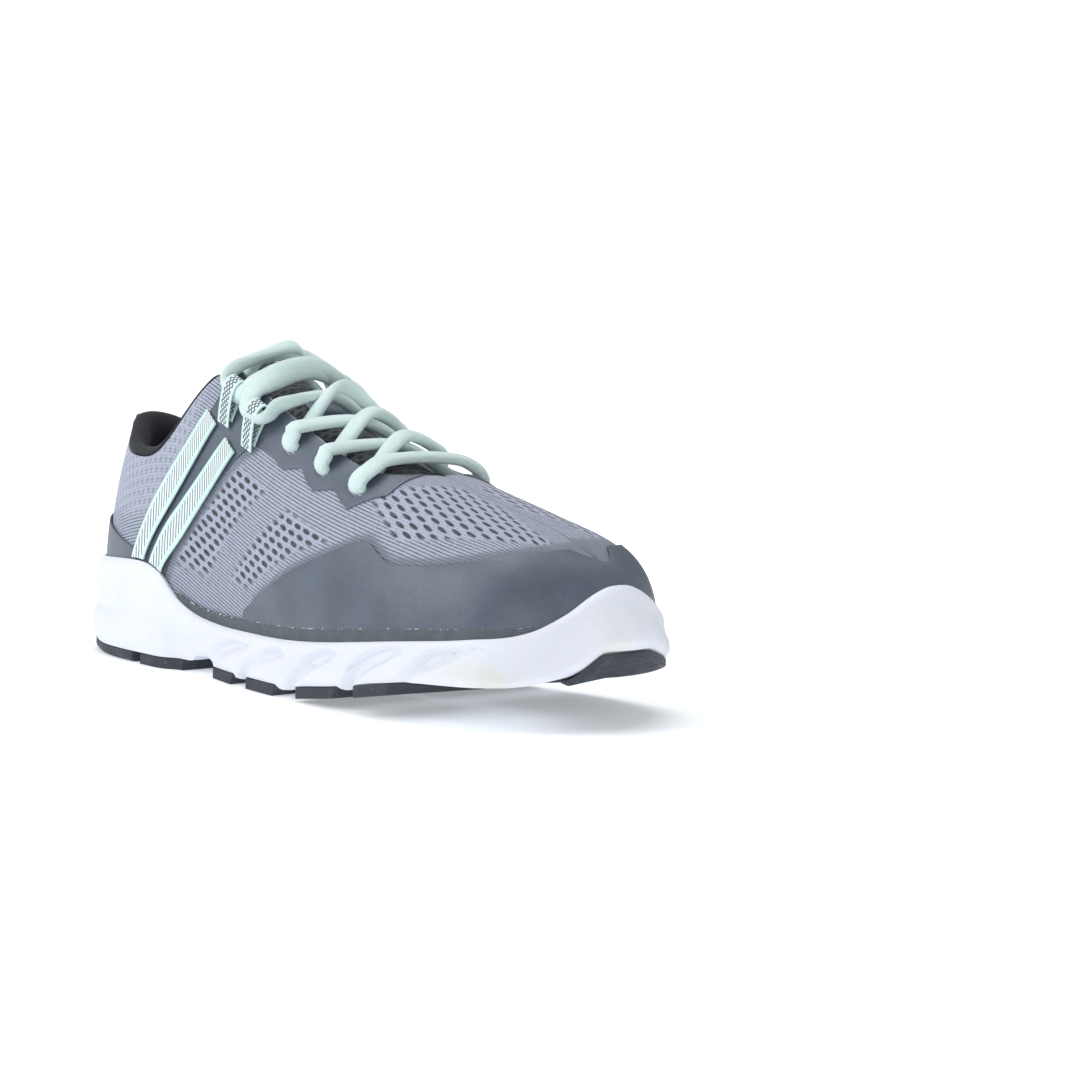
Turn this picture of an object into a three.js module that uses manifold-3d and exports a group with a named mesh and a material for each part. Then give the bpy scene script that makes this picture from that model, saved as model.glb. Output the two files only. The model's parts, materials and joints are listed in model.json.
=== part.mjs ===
// Right running shoe, as an assembly of its separate pieces. Millimetres, +Z up.
// +X points to the toe and +Y to the medial (inner) side. Most pieces are layers over one
// shaped last: surf(side, t, h, off) gives a point of it, with t running heel to toe, h running
// from the sole edge up to the ridge, and off the distance outside the surface.
import * as THREE from 'three'
import Module from 'manifold-3d'

const wasm = await Module()
wasm.setup()

// ---- driving dimensions -------------------------------------------------------------------
const FABRIC = 1.7                 // knit upper thickness, measured inwards from the last
const GAP = 0.4                    // clearance kept between neighbouring layers
const FILM = [0.6, 1.2]            // bonded film overlays, inside and outside offset
const STRAP = [1.6, 2.5]           // webbing straps over the film
const STRAP_WIDTH = 6
const LOOP_WIDTH = 5
const LACE = { width: 5.4, thick: 2.6 }
const UNDER = -3.65                // lace centre below the upper, above the tongue
const TONGUE = [-9.4, -5.7]
const HOLE = [8.2, 6.2]            // eyelet slot, along and across the shoe
const LOOP_FLOOR = 1.6              // underside of a lace loop above the last
const RUBBER = 4.1                 // outsole thickness
const PAD_GAP = 0.3                // between the foam and the rubber

// Stations of the last, heel to toe: plan outline of each side, ridge, bottom level, fullness.
const LATERAL = [[5, 0], [14.5, -22.5], [39, -34], [73, -37], [105, -37.5], [137, -41.5],
  [167, -46], [197, -48], [227, -45.5], [255, -34.5], [271.5, 4]]
const MEDIAL = [[5, 0], [14.5, 22], [39, 31], [73, 31.5], [105, 30], [137, 33],
  [167, 39], [197, 45], [229, 46.5], [256.5, 38], [271.5, 4]]
const RIDGE = [[24, 0, 121.5], [34, 0, 118], [56, 0, 121.5], [82, 0, 124.5], [107, 0, 112.5],
  [135, 0, 98.8], [162, 0, 87.2], [189.5, 1, 77.5], [217, 3, 69], [240, 6, 61.7], [256, 8, 53.7]]
const BOTTOM = [22, 22, 21, 18.5, 16, 14, 13, 13, 15.5, 21, 28]
const FULLNESS = [2.8, 2, 2.35, 2.6, 2.7, 2.6, 2.55, 2.5, 2.5, 2.5, 2.3]

// Height of the midsole rim on each side, against t.
const RIM = {
  '-1': [[0, 37], [0.15, 37.6], [0.25, 38.8], [0.298, 35.5], [0.333, 27.5], [0.37, 22.5],
    [0.42, 20], [0.5, 19.5], [0.61, 20.5], [0.78, 26], [0.87, 29], [0.925, 32], [0.95, 37.5], [0.97, 43.5],
    [0.985, 46], [1, 46.6]],
  '1': [[0, 37], [0.15, 37.6], [0.26, 38], [0.34, 33], [0.42, 28], [0.5, 25.8], [0.6, 26],
    [0.78, 30], [0.87, 33], [0.92, 36.5], [0.95, 42], [0.97, 45], [0.985, 46.3], [1, 46.6]]
}
const FLARE = {
  '-1': [[0, 4.5], [0.1, 5], [0.2, 5.6], [0.28, 6], [0.325, 5.6], [0.345, 2.6], [0.4, 3.4],
    [0.5, 6], [0.6, 5], [0.7, 4], [0.8, 4], [0.9, 5], [1, 6.6]],
  '1': [[0, 4.5], [0.1, 5], [0.2, 5.4], [0.3, 4.8], [0.4, 3.6], [0.5, 3.6], [0.7, 4],
    [0.8, 4.4], [0.9, 5], [1, 6.6]]
}
// Level of the foam's lower edge on each side, against x; the rubber sits below it.
const FLAT = RUBBER + PAD_GAP
const UNDERSIDE = {
  '-1': [[-2, 15], [4, 10.6], [12, 7], [24, 4.9], [36, FLAT], [94.5, FLAT], [99, 7], [104, 7],
    [110, FLAT], [158, FLAT], [182, 6.6], [197, 8.6], [212, 11.3], [228, 13.2], [243, 13.8],
    [256, 14.2], [264, 15], [270, 17.6], [274, 22], [276, 26]],
  '1': [[-2, 15], [4, 10.6], [12, 7], [24, 4.9], [36, FLAT], [94.5, FLAT], [99, 7], [104, 7],
    [110, FLAT], [165, FLAT], [182, 5.3], [197, 6.8], [212, 8.6], [229, 11.2], [245, 14.8],
    [254, 17.4], [260, 19.2], [266, 21], [271, 23.2], [276, 26]]
}
// Foot opening seen from the side, and half width of the throat against x.
const TOPLINE = [[-5, 93], [7, 91.5], [17, 87.4], [32, 80.3], [50, 78], [59, 79.3], [65, 83],
  [74, 93.3], [79, 101], [84.5, 108.6], [93, 113.5]]
const THROAT = [[84, 15], [93, 18], [105, 19], [120, 20], [140, 21], [160, 22.5], [172, 22.5],
  [180, 20.5], [185, 16], [188, 9], [189, 0]]

const EYELETS = [
  { t: 0.645, h: 0.615 }, { t: 0.575, h: 0.605 }, { t: 0.505, h: 0.6 }]
const LOOPS = [{ t: 0.438, h: 0.605 }, { t: 0.383, h: 0.63 }]

// ---- numeric helpers ------------------------------------------------------------------------
const clamp = (v, a, b) => Math.max(a, Math.min(b, v))
const lerp = (a, b, k) => a + (b - a) * k
const V = (x, y, z) => new THREE.Vector3(x, y, z)

function spline4(a, b, c, d, f) {
  return 0.5 * (2 * b + (c - a) * f + (2 * a - 5 * b + 4 * c - d) * f * f
    + (3 * b - a - 3 * c + d) * f * f * f)
}

// Smooth value through evenly spaced stations, t in 0..1, level at both ends.
function station(list, t, k) {
  const at = i => (k === undefined ? list[i] : list[i][k])
  const n = list.length - 1
  const i = Math.min(Math.floor(clamp(t, 0, 1) * n), n - 1)
  const f = clamp(t, 0, 1) * n - i
  const before = i > 0 ? at(i - 1) : at(1)
  const after = i < n - 1 ? at(i + 2) : at(n - 1)
  return spline4(before, at(i), at(i + 1), after, f)
}

// Smooth value through unevenly spaced [x, value] pairs.
function curve(pairs, x) {
  const n = pairs.length - 1
  if (x <= pairs[0][0]) return pairs[0][1]
  if (x >= pairs[n][0]) return pairs[n][1]
  let i = 0
  while (x > pairs[i + 1][0]) i++
  const slope = j => (pairs[j + 1][1] - pairs[j][1]) / (pairs[j + 1][0] - pairs[j][0])
  const m = j => {
    if (j === 0) return slope(0)
    if (j === n) return slope(n - 1)
    return slope(j - 1) * slope(j) <= 0 ? 0 : (slope(j - 1) + slope(j)) / 2
  }
  const w = pairs[i + 1][0] - pairs[i][0]
  const f = (x - pairs[i][0]) / w
  const f2 = f * f
  const f3 = f2 * f
  return (2 * f3 - 3 * f2 + 1) * pairs[i][1] + (f3 - 2 * f2 + f) * w * m(i)
    + (3 * f2 - 2 * f3) * pairs[i + 1][1] + (f3 - f2) * w * m(i + 1)
}

// ---- the last --------------------------------------------------------------------------------
// Plan outline of one side; at heel and toe it runs on into the other side, so both are round.
function outline(side, t) {
  const own = side < 0 ? LATERAL : MEDIAL
  const other = side < 0 ? MEDIAL : LATERAL
  const n = own.length - 1
  const pts = [other[1], ...own, other[n - 1]]
  const i = Math.min(Math.floor(clamp(t, 0, 1) * n), n - 1)
  const f = clamp(t, 0, 1) * n - i
  return [0, 1].map(k => spline4(pts[i][k], pts[i + 1][k], pts[i + 2][k], pts[i + 3][k], f))
}

function skin(side, t, h) {
  const [ex, ey] = outline(side, t)
  const [kx, ky, kz] = [0, 1, 2].map(k => station(RIDGE, t, k))
  const z0 = station(BOTTOM, t)
  const n = station(FULLNESS, t)
  const phi = clamp(h, 0, 1) * Math.PI / 2
  const u = Math.pow(Math.max(Math.cos(phi), 0), 2 / n)
  const g = Math.pow(Math.max(Math.sin(phi), 0), 2 / n)
  return V(kx + (ex - kx) * u, ky + (ey - ky) * u, z0 + (kz - z0) * g)
}

// Signed heel-to-toe coordinate: t may run past 0 or 1 on to the other side of the shoe.
function fold(side, t) {
  if (t < 0) return [-side, -t]
  if (t > 1) return [-side, 2 - t]
  return [side, t]
}

function foldH(side, t, h) {
  const [s, u] = fold(side, t)
  return h > 1 ? skin(-s, u, 2 - h) : skin(s, u, h)
}

function normal(side, t, h) {
  const e = 0.012
  const lo = Math.max(h - e, 0.02)
  const du = foldH(side, t + e, Math.max(h, 0.02)).sub(foldH(side, t - e, Math.max(h, 0.02)))
  const dv = foldH(side, t, Math.max(h, 0.02) + e).sub(foldH(side, t, lo))
  const s = du.cross(dv)
  if (side < 0) return s.normalize()
  return s.negate().normalize()
}

function surf(side, t, h, off) {
  const [s, u] = fold(side, t)
  return skin(s, u, h).addScaledVector(normal(s, u, clamp(h, 0, 1)), off)
}

const mmT = (side, t, h) => skin(side, t + 0.01, h).distanceTo(skin(side, t - 0.01, h)) / 0.02
const mmH = (side, t, h) => skin(side, t, h + 0.01).distanceTo(skin(side, t, h - 0.01)) / 0.02

// Value of h where the section reaches height z.
function hAt(side, t, z) {
  const [s, u] = fold(side, t)
  let a = 0
  let b = 1
  for (let i = 0; i < 30; i++) {
    const m = (a + b) / 2
    if (skin(s, u, m).z < z) a = m
    else b = m
  }
  return a
}

const isOpen = p => (p.x < 93 && p.z > curve(TOPLINE, p.x))
  || (p.x > 84 && p.x < 189 && Math.abs(p.y) < curve(THROAT, p.x))

// Value of h where the section, at one offset, meets the foot opening or the throat.
function hEdge(side, t, off = 0) {
  const [s, u] = fold(side, t)
  const open = h => isOpen(surf(s, u, h, off))
  for (let h = 0.1; h < 1; h += 0.02) {
    if (!open(h)) continue
    let a = h - 0.02
    let b = h
    for (let i = 0; i < 10; i++) {
      const m = (a + b) / 2
      if (open(m)) b = m
      else a = m
    }
    return a
  }
  return 1
}

// Value of h reached by going p mm up (or down, when negative) the section from h.
function along(side, t, h, p) {
  const step = p < 0 ? -0.01 : 0.01
  let left = Math.abs(p)
  let at = skin(side, t, h)
  while (h > 0.03 && h < 0.97) {
    const next = skin(side, t, h + step)
    const run = next.distanceTo(at)
    if (run >= left) return h + step * left / run
    left -= run
    at = next
    h += step
  }
  return h
}

const rim = (side, t) => {
  const [s, u] = fold(side, t)
  return curve(RIM[s], u)
}
const hRim = (side, t) => hAt(side, t, rim(side, t) + 0.7)

// ---- solids ----------------------------------------------------------------------------------
function solid(positions, indices) {
  const g = new THREE.BufferGeometry()
  const flat = []
  for (const p of positions) flat.push(p.x, p.y, p.z)
  g.setAttribute('position', new THREE.Float32BufferAttribute(flat, 3))
  g.setIndex(indices)
  if (volume(positions, indices) < 0) {
    for (let i = 0; i < indices.length; i += 3) {
      const keep = indices[i]
      indices[i] = indices[i + 1]
      indices[i + 1] = keep
    }
    g.setIndex(indices)
  }
  return g
}

function volume(p, idx) {
  let v = 0
  for (let i = 0; i < idx.length; i += 3) {
    v += p[idx[i]].dot(p[idx[i + 1]].clone().cross(p[idx[i + 2]]))
  }
  return v
}

// Closed skin over loops of points: every loop has the same count, both ends are capped.
function loft(loops) {
  const n = loops[0].length
  const idx = []
  for (let r = 0; r < loops.length - 1; r++) {
    for (let k = 0; k < n; k++) {
      const a = r * n + k
      const b = r * n + (k + 1) % n
      idx.push(a, b, b + n, a, b + n, a + n)
    }
  }
  const last = (loops.length - 1) * n
  for (let k = 0; k + 1 < n - 1 - k; k++) {
    const j = n - 1 - k
    for (const [o, flip] of [[0, true], [last, false]]) {
      const quad = k + 1 === j - 1 ? [[k, k + 1, j]] : [[k, k + 1, j], [k + 1, j - 1, j]]
      for (const [a, b, c] of quad) idx.push(...(flip ? [o + b, o + a, o + c] : [o + a, o + b, o + c]))
    }
  }
  return solid(loops.flat(), idx)
}

// Closed slab over a grid: at(a, b, k) gives a point for a, b in 0..1, k 0 inside or 1 outside.
function slab(at, na, nb) {
  const loops = []
  for (let i = 0; i <= na; i++) {
    const loop = []
    for (let j = 0; j <= nb; j++) loop.push(at(i / na, j / nb, 0))
    for (let j = nb; j >= 0; j--) loop.push(at(i / na, j / nb, 1))
    loops.push(loop)
  }
  return loft(loops)
}

// Layer of the shoe between two offsets; where(a, b) returns [t, h].
function layer(side, offs, na, nb, where) {
  return slab((a, b, k) => {
    const [t, h] = where(a, b)
    return surf(side, t, h, offs[k])
  }, na, nb)
}

// Bends a flat geometry on to the shoe: x runs along t, y along h and z is the offset, all in mm
// from the anchor.
function wrap(geometry, side, t, h) {
  const g = geometry.index ? geometry.toNonIndexed() : geometry
  const lt = mmT(side, t, h)
  const lh = mmH(side, t, h)
  const p = g.attributes.position
  const pts = []
  const idx = []
  const seen = new Map()
  for (let i = 0; i < p.count; i++) {
    const key = [p.getX(i), p.getY(i), p.getZ(i)].map(v => v.toFixed(3)).join()
    if (!seen.has(key)) {
      seen.set(key, pts.length)
      pts.push(surf(side, t + p.getX(i) / lt, h + p.getY(i) / lh, p.getZ(i)))
    }
    idx.push(seen.get(key))
  }
  return solid(pts, idx)
}

function toManifold(g) {
  const p = g.attributes.position
  return new wasm.Manifold(new wasm.Mesh({
    numProp: 3,
    vertProperties: new Float32Array(p.array),
    triVerts: new Uint32Array(g.index.array)
  }))
}

function fromManifold(m) {
  const mesh = m.getMesh()
  const g = new THREE.BufferGeometry()
  g.setAttribute('position', new THREE.Float32BufferAttribute(Array.from(mesh.vertProperties), 3))
  g.setIndex(Array.from(mesh.triVerts))
  return g
}

function cut(body, tools) {
  let m = body instanceof THREE.BufferGeometry ? toManifold(body) : body
  for (const tool of tools) m = m.subtract(toManifold(tool))
  return fromManifold(m)
}

function indexed(geometry) {
  const pts = []
  const idx = []
  const seen = new Map()
  const g = geometry.index ? geometry.toNonIndexed() : geometry
  const p = g.attributes.position
  for (let i = 0; i < p.count; i++) {
    const key = [p.getX(i), p.getY(i), p.getZ(i)].map(v => v.toFixed(4)).join()
    if (!seen.has(key)) {
      seen.set(key, pts.length)
      pts.push(V(p.getX(i), p.getY(i), p.getZ(i)))
    }
    idx.push(seen.get(key))
  }
  return solid(pts, idx)
}

// Upright prism over a plan polygon, or a prism along Y over a side-view polygon.
function prism(points, lo, hi, along) {
  const shape = new THREE.Shape(points.map(([a, b]) => new THREE.Vector2(a, b)))
  const g = new THREE.ExtrudeGeometry(shape, { depth: hi - lo, bevelEnabled: false })
  if (along === 'y') {
    g.rotateX(Math.PI / 2)
    g.translate(0, hi, 0)
  } else {
    g.translate(0, 0, lo)
  }
  return indexed(g)
}

// Even steps 0..n as t, closer together round the heel and the toe.
function ends(i, n) {
  return lerp(i / n, 0.5 - 0.5 * Math.cos(Math.PI * i / n), 0.55)
}

// ---- the closed body of the last at one offset ---------------------------------------------------
function lastBody(off, nt, nh, drop) {
  const pts = []
  const ring = []
  const add = p => pts.push(p) - 1
  const hs = [0, 0.03, 0.07, 0.13]
  for (let j = 1; j <= nh; j++) hs.push(0.13 + 0.87 * j / nh)
  const rows = hs.length
  // ring order: lateral heel to toe, then medial toe to heel
  const spots = []
  for (let i = 0; i < nt; i++) spots.push([-1, ends(i, nt)])
  for (let i = nt; i > 0; i--) spots.push([1, ends(i, nt)])
  const crest = []
  for (let i = 0; i <= nt; i++) crest.push(add(surf(-1, ends(i, nt), 1, off)))
  for (let j = 0; j < rows - 1; j++) {
    ring.push(spots.map(([s, t]) => {
      const p = surf(s, t, hs[j], off)
      if (j === 0) p.z = station(BOTTOM, t) - drop
      return add(p)
    }))
  }
  const top = spots.map((_, k) => crest[k <= nt ? k : 2 * nt - k])
  ring.push(top)
  const idx = []
  const n = spots.length
  for (let j = 0; j < rows - 1; j++) {
    for (let k = 0; k < n; k++) {
      const [a, b] = [ring[j][k], ring[j][(k + 1) % n]]
      const [c, d] = [ring[j + 1][(k + 1) % n], ring[j + 1][k]]
      if (b !== c && a !== b && a !== c) idx.push(a, b, c)
      if (a !== d && c !== d && a !== c) idx.push(a, c, d)
    }
  }
  const base = ring[0]
  for (let k = 0; k < nt; k++) {
    const [a, b] = [base[k], base[k + 1]]
    const [c, d] = [base[(n - k - 1) % n], base[(n - k) % n]]
    if (k > 0) idx.push(a, d, b)
    if (k < nt - 1) idx.push(b, k > 0 ? d : a, c)
  }
  return solid(pts, idx)
}

// ---- upper ---------------------------------------------------------------------------------------
function openingTools() {
  const collar = prism([...smoothLine(TOPLINE), [94, 170], [-40, 170], [-40, 93]], -80, 80, 'y')
  const right = smoothLine(THROAT)
  const left = right.slice(0, -1).reverse().map(([x, w]) => [x, -w])
  const throat = prism([...right, ...left], 58, 170)
  return [collar, throat]
}

function smoothLine(pairs) {
  const out = []
  for (let i = 0; i < pairs.length - 1; i++) {
    out.push(pairs[i])
    const x = (pairs[i][0] + pairs[i + 1][0]) / 2
    if (pairs[i + 1][0] - pairs[i][0] > 7) out.push([x, curve(pairs, x)])
  }
  out.push(pairs[pairs.length - 1])
  return out
}

function slot(side, eye) {
  const shape = new THREE.Shape()
  shape.absellipse(0, 0, HOLE[0] / 2, HOLE[1] / 2, 0, Math.PI * 2)
  const g = new THREE.ExtrudeGeometry(shape, { depth: 8, bevelEnabled: false, curveSegments: 5 })
  g.translate(0, 0, -4)
  return wrap(g, side, eye.t, eye.h)
}

function allSlots() {
  return [-1, 1].flatMap(s => EYELETS.map(e => slot(s, e)))
}

function upper() {
  return cut(lastBody(0, 30, 8, 0), [lastBody(-FABRIC, 30, 8, 6), ...openingTools(), ...allSlots()])
}

// ---- film overlays -------------------------------------------------------------------------------
const TOE_TOP = [[0.475, 26], [0.5, 31], [0.56, 41], [0.64, 50.5], [0.7, 56], [0.725, 52.5],
  [0.75, 49.5], [0.8, 50.2], [0.88, 54], [0.95, 56.5], [1, 56.5]]
const TOE_TOP_MEDIAL = [[0.56, 33], [0.6, 44], [0.65, 55], [0.69, 60.5], [0.72, 59.5], [0.75, 54.5],
  [0.8, 54.5], [0.88, 56.5], [0.95, 57], [1, 56.5]]

function toeOverlay() {
  return layer(-1, FILM, 46, 4, (a, b) => {
    const t = lerp(0.478, 1.438, a)
    const [s, u] = fold(-1, t)
    const top = Math.min(hAt(s, u, curve(s < 0 ? TOE_TOP : TOE_TOP_MEDIAL, u)), 0.8)
    const low = s < 0 && u < 0.93 ? Math.max(hRim(s, u), hAt(s, u, RAND_TOP(u) + 0.8)) : hRim(s, u)
    return [t, lerp(Math.min(low, top - 0.01), top, b)]
  })
}

// Grey textile rand between the overlay and the midsole on the lateral side.
const RAND_TOP = t => rim(-1, t) + 4 * Math.sin(Math.PI * clamp((t - 0.32) / 0.61, 0, 1)) ** 0.35

function rand() {
  return layer(-1, [0.5, 1.3], 22, 1, (a, b) => {
    const t = lerp(0.354, 0.918, a)
    return [t, lerp(hRim(-1, t), hAt(-1, t, RAND_TOP(t) + 0.1), b)]
  })
}


// Eyestay with pointed tabs round the eyelets, one piece with the saddle below it: the saddle's
// rear and front edge at its low and its high end, and how far both bow forwards between them.
const SADDLE = { low: [0.248, 0.312], high: [0.352, 0.462], top: 0.58, bow: 0.016 }

function sideOverlay(side) {
  const tabs = [[0.35, 0.4], [0.415, 0.43], [0.47, 0.51], [0.505, 0.495], [0.54, 0.545],
    [0.575, 0.5], [0.61, 0.55], [0.645, 0.51], [0.672, 0.6], [0.69, 0.66]]
  const stay = layer(side, FILM, 26, 2, (a, b) => {
    const t = lerp(0.352, 0.69, a)
    const top = hEdge(side, t) - 0.7 / mmH(side, t, 0.7)
    return [t, lerp(Math.min(curve(tabs, t), top - 0.02), Math.min(top, 0.9), b)]
  })
  const saddle = layer(side, FILM, 4, 8, (a, b) => {
    const start = lerp(SADDLE.low[0], SADDLE.low[1], a)
    const end = lerp(SADDLE.high[0], SADDLE.high[1], a)
    const bow = SADDLE.bow * Math.sin(Math.PI * b)
    const h = lerp(hRim(side, start), SADDLE.top, Math.pow(b, 0.85))
    return [lerp(start, end, b) + bow, h]
  })
  const joined = toManifold(stay).add(toManifold(saddle))
  return cut(joined, EYELETS.map(e => slot(side, e)))
}

// Webbing strap over the saddle, from the midsole up towards the laces.
function strap(side, from, to) {
  return layer(side, STRAP, 12, 2, (a, b) => {
    const t = lerp(from, to[0], a) + 0.016 * Math.sin(Math.PI * a) + (b - 0.5) * STRAP_WIDTH / 250
    const h = lerp(hRim(side, t) + 0.012, to[1], Math.pow(a, 0.85))
    return [t, h - (b - 0.5) * 0.028 * Math.min(1, a * 4)]
  })
}

// Loop of the same webbing that carries the lace, with a flat tail on the film.
function laceLoop(side, spot) {
  const hw = LACE.width / 2 + 1.5
  const top = LOOP_FLOOR + 0.7 + LACE.thick + 0.9
  const out = new THREE.Shape()
  out.moveTo(-hw - 8, LOOP_FLOOR)
  for (const p of [-8, -4, 0, hw]) out.lineTo(p, LOOP_FLOOR)
  out.lineTo(hw + 0.9, LOOP_FLOOR + 0.8)
  out.lineTo(hw + 0.9, top - 0.1)
  out.lineTo(hw, top + 0.8)
  out.lineTo(-hw, top + 0.8)
  out.lineTo(-hw - 3, LOOP_FLOOR + 1.8)
  out.lineTo(-hw - 8, LOOP_FLOOR + 0.9)
  const hole = new THREE.Path()
  hole.moveTo(-hw, LOOP_FLOOR + 0.7)
  hole.lineTo(-hw, top)
  hole.lineTo(hw, top)
  hole.lineTo(hw, LOOP_FLOOR + 0.7)
  hole.lineTo(0, LOOP_FLOOR + 0.7)
  out.holes.push(hole)
  const g = new THREE.ExtrudeGeometry(out, { depth: LOOP_WIDTH, bevelEnabled: false, steps: 1 })
  g.translate(0, 0, -LOOP_WIDTH / 2)
  const m = new THREE.Matrix4().set(0, 0, 1, 0, 1, 0, 0, 0, 0, 1, 0, 0, 0, 0, 0, 1)
  g.applyMatrix4(m)
  return wrap(g, side, spot.t, spot.h)
}

// ---- collar, tongue and inside -------------------------------------------------------------------
// Profile swept round the collar; each point is [distance beyond the edge, offset].
function collarSweep(profile, ends, steps) {
  const loops = []
  for (let i = 0; i <= steps; i++) {
    const t = lerp(-ends, ends, i / steps)
    const [s, u] = fold(1, t)
    loops.push(profile(s, u).map(([p, off]) => {
      return surf(s, u, along(s, u, hEdge(s, u, Math.max(off, -3)), p), off)
    }))
  }
  return loft(loops)
}

function collarLining() {
  return collarSweep((s, u) => {
    const drop = -lerp(32, 24, clamp(u / 0.34, 0, 1))
    return [[0.9, -0.1], [2, -0.9], [2.5, -2.6], [1.6, -5.2], [-1.5, -7], [-8, -7.6],
      [drop, -4.8], [drop, -3.9], [-8, -6.7], [-2.2, -6], [-0.2, -4.4], [0.9, -2.6]]
  }, 0.328, 34)
}

function collarFoam() {
  return collarSweep((s, u) => {
    const drop = -lerp(22, 17, clamp(u / 0.2, 0, 1))
    return [[-0.6, -2.2], [-1.4, -3.6], [-2.8, -4.9], [-8, -6], [drop, -3.4], [drop, -2.2]]
  }, 0.315, 22)
}

function tongueHalf(t) {
  return curve([[0.335, 15], [0.36, 19], [0.42, 24], [0.5, 26.5], [0.62, 28], [0.68, 25], [0.72, 21]], t)
}

// Point of the tongue: w runs -1 to 1 across it.
function tonguePoint(t, w, off) {
  const side = w < 0 ? -1 : 1
  const y = Math.abs(w) * tongueHalf(t)
  let a = 0.3
  let b = 1
  for (let i = 0; i < 26; i++) {
    const m = (a + b) / 2
    if (Math.abs(skin(side, t, m).y) > y) a = m
    else b = m
  }
  return surf(side, t, a, off)
}

function tongue() {
  return slab((a, b, k) => {
    const t = lerp(0.335, 0.715, a)
    const w = lerp(-1, 1, b)
    const thin = clamp(Math.min(a * 12, (1 - a) * 9, (1 - Math.abs(w)) * 7) + 0.35, 0, 1)
    const mid = (TONGUE[0] + TONGUE[1]) / 2
    return tonguePoint(t, w, mid + (TONGUE[k] - mid) * thin)
  }, 15, 8)
}

function tonguePatch() {
  return slab((a, b, k) => {
    const t = lerp(0.425, 0.475, a)
    return tonguePoint(t, lerp(-0.3, 0.3, b), TONGUE[1] + [0.35, 0.95][k])
  }, 3, 3)
}

// Flat layer above the sole edge, inset from the last.
function insole(inset, z0, z1, t0, t1, steps) {
  return slab((a, b, k) => {
    const t = lerp(t0, t1, a)
    const l = surf(-1, t, 0.02, inset)
    const m = surf(1, t, 0.02, inset)
    const p = l.lerp(m, b)
    const cup = k === 1 ? 1.2 * Math.pow(Math.abs(2 * b - 1), 4) : 0
    p.z = station(BOTTOM, t) + [z0, z1][k] + cup * (z1 > 3 ? 1 : 0)
    return p
  }, steps, 4)
}

// Webbing strap down one side of the heel, ending in a point above the midsole.
function heelStrap(side) {
  return slab((a, b, k) => {
    const z = lerp(82, 47, a)
    const point = a > 0.86 ? (a - 0.86) / 0.14 : 0
    const across = (b - 0.5) * (1 - point * 0.94) * STRAP_WIDTH
    const t = lerp(0.022, 0.078, a)
    const h = hAt(side, t, z)
    const rise = clamp((62 - z) / 8, 0, 1)
    return surf(side, t + across / mmT(side, t, h), h, lerp([0.5, 1.4][k], STRAP[k], rise))
  }, 12, 2)
}

function heelOverlay() {
  return layer(1, FILM, 20, 3, (a, b) => {
    const t = lerp(-0.235, 0.235, a)
    const [s, u] = fold(1, t)
    const top = hAt(s, u, curve([[0, 56], [0.12, 52], [0.2, 46.5], [0.235, 43]], u))
    return [t, lerp(hRim(s, u), top, b)]
  })
}

// Folded webbing tab at the top of the heel.
function pullTab() {
  const shape = new THREE.Shape([[0, 0], [-1.6, 0.4], [-3.6, 3], [-3.8, 6.5], [-2.8, 8.4], [-1.2, 8.8],
    [0, 8]].map(([a, b]) => new THREE.Vector2(a, b)))
  const hole = new THREE.Path([[-0.9, 2.4], [-0.9, 7.4], [-1.8, 7.6], [-2.8, 6.2], [-2.7, 3.4]]
    .map(([a, b]) => new THREE.Vector2(a, b)))
  shape.holes.push(hole)
  const g = new THREE.ExtrudeGeometry(shape, { depth: 8, bevelEnabled: false })
  g.rotateX(Math.PI / 2)
  const foot = surf(-1, 0, hAt(-1, 0, 84.5), 0.6)
  g.rotateY(0.13)
  g.translate(foot.x, 4, foot.z)
  return indexed(g)
}

// Stiff parts laid up inside the upper at heel and toe.
function heelCounter() {
  return layer(1, [-3.3, -2.2], 18, 3, (a, b) => {
    const t = lerp(-0.2, 0.2, a)
    const [s, u] = fold(1, t)
    const top = lerp(58, 44, Math.pow(Math.abs(2 * a - 1), 2))
    return [t, lerp(hAt(s, u, 31), hAt(s, u, top), b)]
  })
}

function toePuff() {
  return layer(-1, [-3.2, -2.2], 16, 3, (a, b) => {
    const t = lerp(0.88, 1.12, a)
    const [s, u] = fold(-1, t)
    const top = lerp(49, 40, Math.pow(Math.abs(2 * a - 1), 2))
    return [t, lerp(hAt(s, u, station(BOTTOM, u) + 8), hAt(s, u, top), b)]
  })
}

// Plastic tip on the tucked end of the lace.
function aglet(end) {
  const [a, b] = end
  const d = a.clone().sub(b).normalize()
  const g = new THREE.CylinderGeometry(1.5, 1.5, 13, 8)
  g.applyQuaternion(new THREE.Quaternion().setFromUnitVectors(V(0, 1, 0), d))
  const c = a.clone().addScaledVector(d, 6.9)
  g.translate(c.x, c.y, c.z)
  return indexed(g)
}

// ---- midsole -------------------------------------------------------------------------------------
function outward(side, t) {
  const n = normal(side, t, 0.02)
  return V(n.x, n.y, 0).normalize()
}

function flare(side, t) {
  return curve(FLARE[side], t)
}

function wallPoint(side, t, k) {
  const [ex, ey] = outline(side, t)
  const d = outward(side, t)
  const f = flare(side, t)
  const top = rim(side, t)
  const low = curve(UNDERSIDE[side], ex + d.x * f)
  const z = lerp(low, top, k)
  const h = hAt(side, t, Math.max(z, station(BOTTOM, t) + 0.5))
  const s = skin(side, t, h)
  const start = V(z > station(BOTTOM, t) ? s.x : ex, z > station(BOTTOM, t) ? s.y : ey, z)
  const reach = curve([[0, f - 1.2], [0.16, f], [0.45, f * 0.8], [0.8, 3.3], [0.94, 2.9], [1, 1.9]], k)
  return start.addScaledVector(d, reach)
}

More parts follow.
